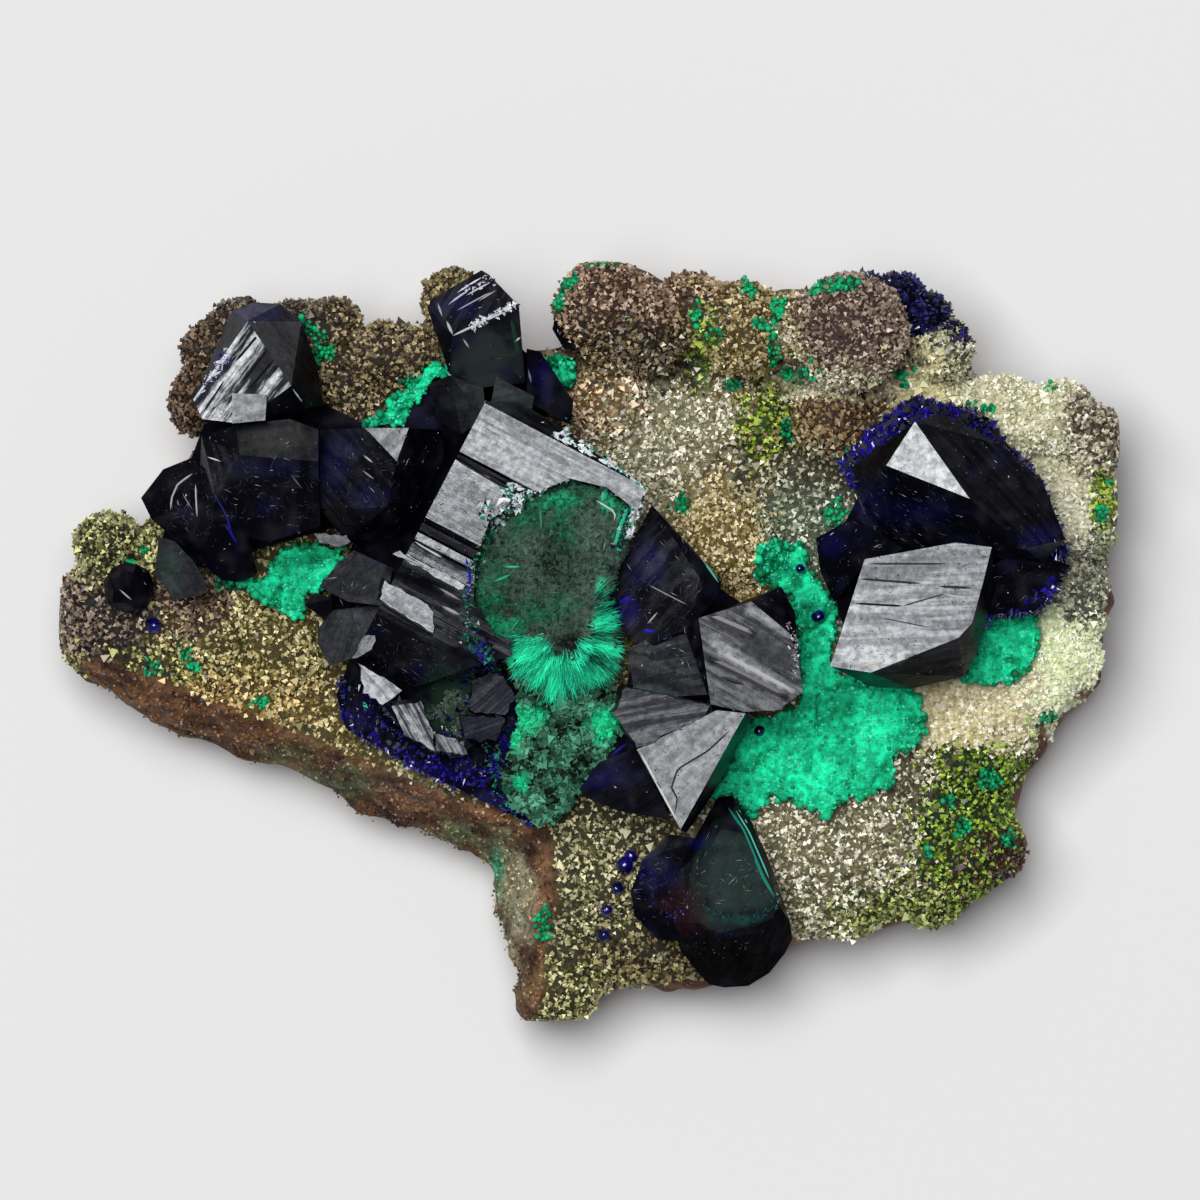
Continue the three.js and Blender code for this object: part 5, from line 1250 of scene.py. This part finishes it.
# Azurite druse around the right crystals and below the stepped one, and on the crust at the top right
at, up = sprinkled("azurite_right_cluster", 9, 11, 17.0, [
    (19, 13.4, 2.4, 2.0), (22, 15.4, 2.6, 1.0), (26, 14.8, 2.6, 1.4), (29.2, 11.4, 1.8, 1.8),
    (31, 7.8, 1.4, 2.6), (29.8, 3.2, 2.0, 1.4), (27, 2.2, 1.6, 1.4), (17.6, 11.4, 1.2, 1.0),
])
tone = np.clip(0.22 + 0.3 * noise(at, 1.2, 3.0) + 0.2 * rng.normal(size=len(at)), 0, 1)
scatter_piece(
    "azurite_rim_druse", SPIKE, at, up, rng.uniform(0.35, 0.7, len(at)), 0.5,
    mixed("04040e", "2a1cb8", tone), BLUE_GRAIN,
)
at, up = sprinkled("azurite_centre_cluster", 9, 10, 16.2, [
    (-8, -7.6, 7.0, 2.4), (-15.4, -4.6, 2.6, 2.2), (-7.0, -3.6, 2.6, 2.2), (-3.0, -11.4, 2.0, 1.2),
])
low_edge = np.clip((-7.2 - 0.42 * (at[:, 0] + 8) - at[:, 1]) / 1.5, 0, 1)
tone = np.clip(0.06 + 0.4 * low_edge + 0.2 * noise(at, 1.4, 5.0) + 0.12 * rng.normal(size=len(at)), 0, 1)
scatter_piece(
    "azurite_low_druse", SPIKE, at, up, rng.uniform(0.25, 0.5, len(at)), 0.5,
    # one grain in eight is grey: painted glints
    np.where(rng.random((len(at), 1)) < 0.12, linear("3c4450"), mixed("04040e", "2418a0", tone)),
    BLUE_GRAIN,
)
at, up = sprinkled("azurite_top_right_crust", 14, 10.5, 14)
scatter_piece(
    "azurite_crust_druse", SPIKE, at, up, rng.uniform(0.25, 0.5, len(at)), 0.5,
    mixed("0a0a20", "302c80", rng.random(len(at)) ** 2), BLUE_GRAIN,
)

# Broken flakes along the edge between the stepped crystal and the malachite, and on its upper right
# edge; the white ones are painted glints, the teal and dark ones broken crust
at, up = sprinkled("azurite_centre_cluster", 26, 19.5, 24, [
    (-1.6, 13.4, 0.7, 0.7), (-0.3, 12.6, 0.7, 0.6), (0.9, 11.7, 0.7, 0.6), (2.0, 11.0, 0.7, 0.6),
    (3.0, 10.2, 0.6, 0.6), (3.2, 9.0, 0.4, 0.8), (2.9, 7.8, 0.4, 0.8), (2.5, 6.8, 0.4, 0.8),
    (-5.0, 9.9, 0.8, 0.5), (-3.4, 10.7, 0.9, 0.4), (-1.9, 11.3, 0.8, 0.35), (-6.8, 8.7, 0.4, 0.7),
])
keep = (up[:, 2] > 0.3) | (at[:, 2] > 22.6)
at, up = at[keep], up[keep]
flake = rng.random(len(at))[:, None]
tint = np.where(flake < 0.75, linear("1c8a6c"), linear("08081c"))
# the white flakes are painted glints
tint = np.where(flake < 0.5, linear("dfe4e8"), tint)
sizes = rng.uniform(0.15, 0.5, len(at))
scatter_piece("edge_flakes_and_glints", SPECK, at, up, sizes, 0.5, tint, BLUE_GRAIN)

# Mottles on the dark green patch of the rough mass
at, up = sprinkled("azurite_centre_cluster", 60, 12, 19, [(-9.2, -4.4, 1.2, 1.6)])
at, up = at[up[:, 2] > 0.3], up[up[:, 2] > 0.3]
scatter_piece(
    "green_patch", SPECK, at, up, rng.uniform(0.15, 0.45, len(at)), 0.4,
    mixed("06120e", "4c6450", 0.4 + 0.4 * noise(at, 0.8, 3.0) + 0.15 * rng.normal(size=len(at))),
    LINES,
)

# Fine scratches and fibres that lie in the dark faces and in the malachite's top: node, how many to a
# square millimetre, darkest and palest colour, places
SCRATCHED = [
    ("azurite_left_cluster", 8, "10102c", "50546c", [
        (-15, 11, 2.6, 2.6), (-21, 10.5, 3.6, 2.6), (-26, 9, 2.4, 2.4),
    ]),
    ("azurite_middle_cluster", 8, "14142c", "50546c", [(4.4, 3.6, 2.6, 3.4), (5, -1.6, 2.4, 1.4)]),
    ("azurite_centre_cluster", 7, "0c0c14", "50545c", [(-12, -1.4, 3, 1.4), (-15.6, 3, 2, 3.4)]),
    ("azurite_right_cluster", 5, "0c0c1c", "3c4058", [(20, 8.4, 4, 2.6), (28, 5, 3, 3)]),
    ("azurite_lower_crystals", 8, "060c18", "485c60", [(9, -15.6, 2.8, 2.6), (5, -16, 2, 2)]),
    ("malachite_in_centre_crystal", 7, "0c2018", "64887c", [(-2.4, 5.4, 3.4, 4.2)]),
]
FINE = {"azurite": LINES, "malachite": GREEN_GRAIN}
for name, each, dark, pale, places in SCRATCHED:
    at, up = sprinkled(name, each, 12, 24, places)
    at, up = at[up[:, 2] > 0.3] + 0.02 * up[up[:, 2] > 0.3], up[up[:, 2] > 0.3]
    flat = unit(np.cross(up, rng.normal(size=up.shape)))
    slot = name.split("_")[0]
    scatter_piece(
        name + "_scratches", NEEDLE, at, flat,
        rng.uniform(0.12, 0.32, len(at)) * rng.choice([1, 1, 1.6], len(at)), 0.0,
        mixed(dark, pale, rng.random(len(at)) ** 1.5), FINE[slot],
    )

# The dust and tiny pits that break up every crystal face
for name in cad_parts:
    if name.startswith("azurite") and name != "azurite_top_right_crust":
        at, up = sprinkled(name, 5, 12.5, 24)
        keep = (up[:, 2] > 0.4) & (noise(at, 1.3, 4.0) + 0.6 * rng.normal(size=len(at)) > 0.1)
        at, up = at[keep] - 0.03 * up[keep], up[keep]
        kind = rng.random(len(at))[:, None]
        dust = np.where(kind < 0.65, linear("221c48"), linear("4a4c54"))
        dust = np.where(kind < 0.45, linear("07070f"), dust)
        dust = np.where(kind > 0.975, linear("d8dce4"), dust)
        sizes = rng.uniform(0.06, 0.2, len(at))
        scatter_piece(name + "_dust", SPECK, at, up, sizes, 0.2, dust, LINES)


def line_specks(name, slot, each, spread, size, colours, line):
    """Specks along a line of points: even random distances along it, spread to its sides, each on the
    surface met from above, each with one of a few colours."""
    line = np.array(line, float)
    steps = distances(line)
    at = rng.uniform(0, steps[-1], int(each * steps[-1]))
    x = np.interp(at, steps, line[:, 0]) + spread * rng.normal(size=len(at))
    y = np.interp(at, steps, line[:, 1]) + spread * rng.normal(size=len(at))
    z = heights_met(x, y)
    met = z > NO_CRYSTAL
    x, y, z = x[met], y[met], z[met]
    up = np.tile([0.0, 0.0, 1.0], (len(x), 1))
    palette = np.array([linear(code) for code in colours.split()])
    tint = palette[rng.integers(0, len(palette), len(x))]
    sizes = size * rng.uniform(0.5, 1.2, len(x))
    scatter_piece(name, SPECK, np.stack([x, y, z - 0.05], axis=1), up, sizes, 0.5, tint, FINE[slot])


# The ragged rim where the malachite meets the plates of the stepped crystal
MALACHITE_RIM = [
    (-8, 0.6), (-8.1, 3), (-7.4, 5.6), (-6.4, 7.8), (-4.8, 9.3), (-2.8, 10.5), (0, 11), (2, 10.3),
    (2.6, 8.6), (2, 6.4),
]

# Lines of specks on rims, edges and ridges, the white and pale grey ones on the crystals' edges and
# ridges painted glints: name, slot, how many to a millimetre, spread, size, colours and points
SPECK_LINES = [
    ("rim_crumbs", "malachite", 42, 0.2, 0.28, "0c5a40 0a1a18 0c3c2c 148058 0c3c2c 20202c 8ca0a4",
     MALACHITE_RIM),
    ("rim_flakes_and_glints", "azurite", 26, 0.22, 0.34, "f0f4f8 c4ccd4 1c9c74 101018", MALACHITE_RIM[3:6]),
    ("edge_crumbs_and_glints", "azurite", 30, 0.22, 0.3, "eef2f6 08081a 0a2a24 24a88c 08081a",
     [(-1.4, 14.4), (1.2, 12.6), (3.4, 10.6), (2.4, 8.2), (1.9, 6.4)]),
    ("lower_rim", "malachite", 26, 0.3, 0.4, "0c5a40 120e50 1c8c6c 08081a 2a20a0",
     [(-8, 0.6), (-6.6, -1), (-6, -3.4), (-6, -6), (-6.6, -8.4), (-5.2, -11.4)]),
    ("top_crystal_flakes_and_glints", "azurite", 44, 0.13, 0.3, "e8e8f0 c8c8d4 14142c dcdce4 0a3020",
     [(-7.8, 20.9), (-6.4, 21.6), (-5.2, 22.2), (-4.7, 22.4)]),
    ("top_crystal_edge", "azurite", 26, 0.2, 0.24, "c8c8d8 10102c a8a8bc 0a0a20",
     [(-8.4, 23.2), (-7, 24), (-6.2, 24.2)]),
    ("left_crystal_flakes_and_glints", "azurite", 30, 0.22, 0.24, "e4e4ec b8b8c4 14142c 2420a0",
     [(-25.6, 16.6), (-24.6, 18.2), (-23.8, 19.2)]),
    ("middle_ridge", "azurite", 24, 0.12, 0.2, "d8d8dc 808088 101018",
     [(13.2, 1.2), (13.6, -0.4), (13.5, -2.2)]),
    ("teal_rim", "azurite", 34, 0.14, 0.22, "0c6454 0c3c34 06141c 14145c 0a4038",
     [(7.4, -17.4), (9, -18.2), (10.6, -18.4), (12.2, -17.6), (12.6, -16.6)]),
    ("blue_crumbs", "azurite", 16, 0.6, 0.22, "1c1890 0a0a30 2c30a0 3c4450",
     [(2.6, -14), (3.4, -15.6), (4.2, -17.4), (5.6, -18)]),
]
for row in SPECK_LINES:
    line_specks(*row)

# Single azurite beads: x, y, radius
BEADS = [
    (-29.1, 1.1, 0.6), (2.3, -14.9, 0.6), (2.7, -14.3, 0.45), (1.8, -16.4, 0.45), (1.1, -17.9, 0.42),
    (0.9, -19.6, 0.5), (15.2, 1.7, 0.42), (11.3, -5.9, 0.36), (14, 4.9, 0.3),
]


def bead_piece():
    """Balls on the rock's face: latitude and longitude circles of a radius, roughened by noise, each
    set on the highest point of skin or crust near its place."""
    rings, around = 9, 18
    across = np.linspace(0, math.pi, rings + 2)[1:-1, None]
    turn = np.arange(around) * math.pi / (around / 2)
    ball = np.stack([
        np.sin(across) * np.cos(turn), np.sin(across) * np.sin(turn), np.cos(across) * np.ones(around),
    ], axis=-1).reshape(-1, 3)
    ball = np.concatenate([ball, [(0, 0, 1), (0, 0, -1)]])
    step = np.arange(around)
    after = (step + 1) % around
    rows = np.arange(rings - 1)[:, None] * around
    a, b = rows + step, rows + after
    sides = np.stack([a, a + around, b + around, a, b + around, b], axis=-1).reshape(-1, 3)
    last = (rings - 1) * around
    top = np.stack([np.full(around, last + around), step, after], axis=1)
    bottom = np.stack([np.full(around, last + around + 1), last + after, last + step], axis=1)
    faces = np.concatenate([sides, top, bottom])
    placed, index = [], []
    ground = np.concatenate([skin_points, *crust_points])
    for x, y, radius in BEADS:
        height = ground[np.hypot(ground[:, 0] - x, ground[:, 1] - y) < 0.8, 2].max()
        spot = np.array([x, y, height + 0.5 * radius])
        bumpy = 1 + 0.16 * noise(ball * 2.2 + spot, 1.0, 4.0)
        index.append(faces + len(ball) * len(placed))
        placed.append(spot + radius * ball * bumpy[:, None])
    points = np.concatenate(placed)
    tint = mixed("030310", "181088", 0.25 + 0.5 * noise(points, 0.7, 2.0))
    mesh_piece("azurite_beads", points, np.concatenate(index), BLUE_GRAIN, tint, smooth=True)


bead_piece()


# Floor, light and camera: half the floor in metres, and for the camera its lens and sensor, its place
# over the specimen and the height at which the picture has its width
FLOOR_HALF = 3
LENS = 600
SENSOR = 36
CAMERA_X, CAMERA_Y = 0.667, 2.8
PICTURE_LEVEL = 12
PICTURE_WIDTH = 80


def stage_floor():
    """A pale level floor, much wider than the picture."""
    material, tree, out = new_material("pale paper floor")
    finished(material, tree, out, {"Base Color": rgba("e0e0e0"), "Roughness": 0.9})
    mesh = bpy.data.meshes.new("floor")
    corners = [(FLOOR_HALF * x, FLOOR_HALF * y, 0) for x, y in ((-1, -1), (1, -1), (1, 1), (-1, 1))]
    mesh.from_pydata(corners, [], [(0, 1, 2, 3)])
    mesh.materials.append(material)
    in_scene("floor", mesh)


def softbox(name, place, aim, size, power):
    """A square light of a size in metres at a place, facing a point."""
    data = bpy.data.lights.new(name, "AREA")
    data.shape = "SQUARE"
    data.size = size
    data.energy = power
    light = in_scene(name, data)
    light.location = place
    light.rotation_euler = (Vector(aim) - Vector(place)).to_track_quat("-Z", "Y").to_euler()


stage_floor()
softbox("overhead softbox", (-0.3, 0.36, 2.0), (0, 0, 0.01), 1.1, 46)
world = bpy.data.worlds.new("studio")
world.use_nodes = True
world.node_tree.nodes["Background"].inputs["Color"].default_value = (0.10, 0.10, 0.105, 1)
bpy.context.scene.world = world

camera_data = bpy.data.cameras.new("camera")
camera_data.lens = LENS
camera_data.sensor_width = SENSOR
camera_data.clip_end = 10
camera = in_scene("camera", camera_data)
camera.location = (CAMERA_X * MM, CAMERA_Y * MM, (PICTURE_LEVEL + PICTURE_WIDTH * LENS / SENSOR) * MM)
bpy.context.scene.camera = camera
bpy.context.scene.view_settings.view_transform = "Standard"
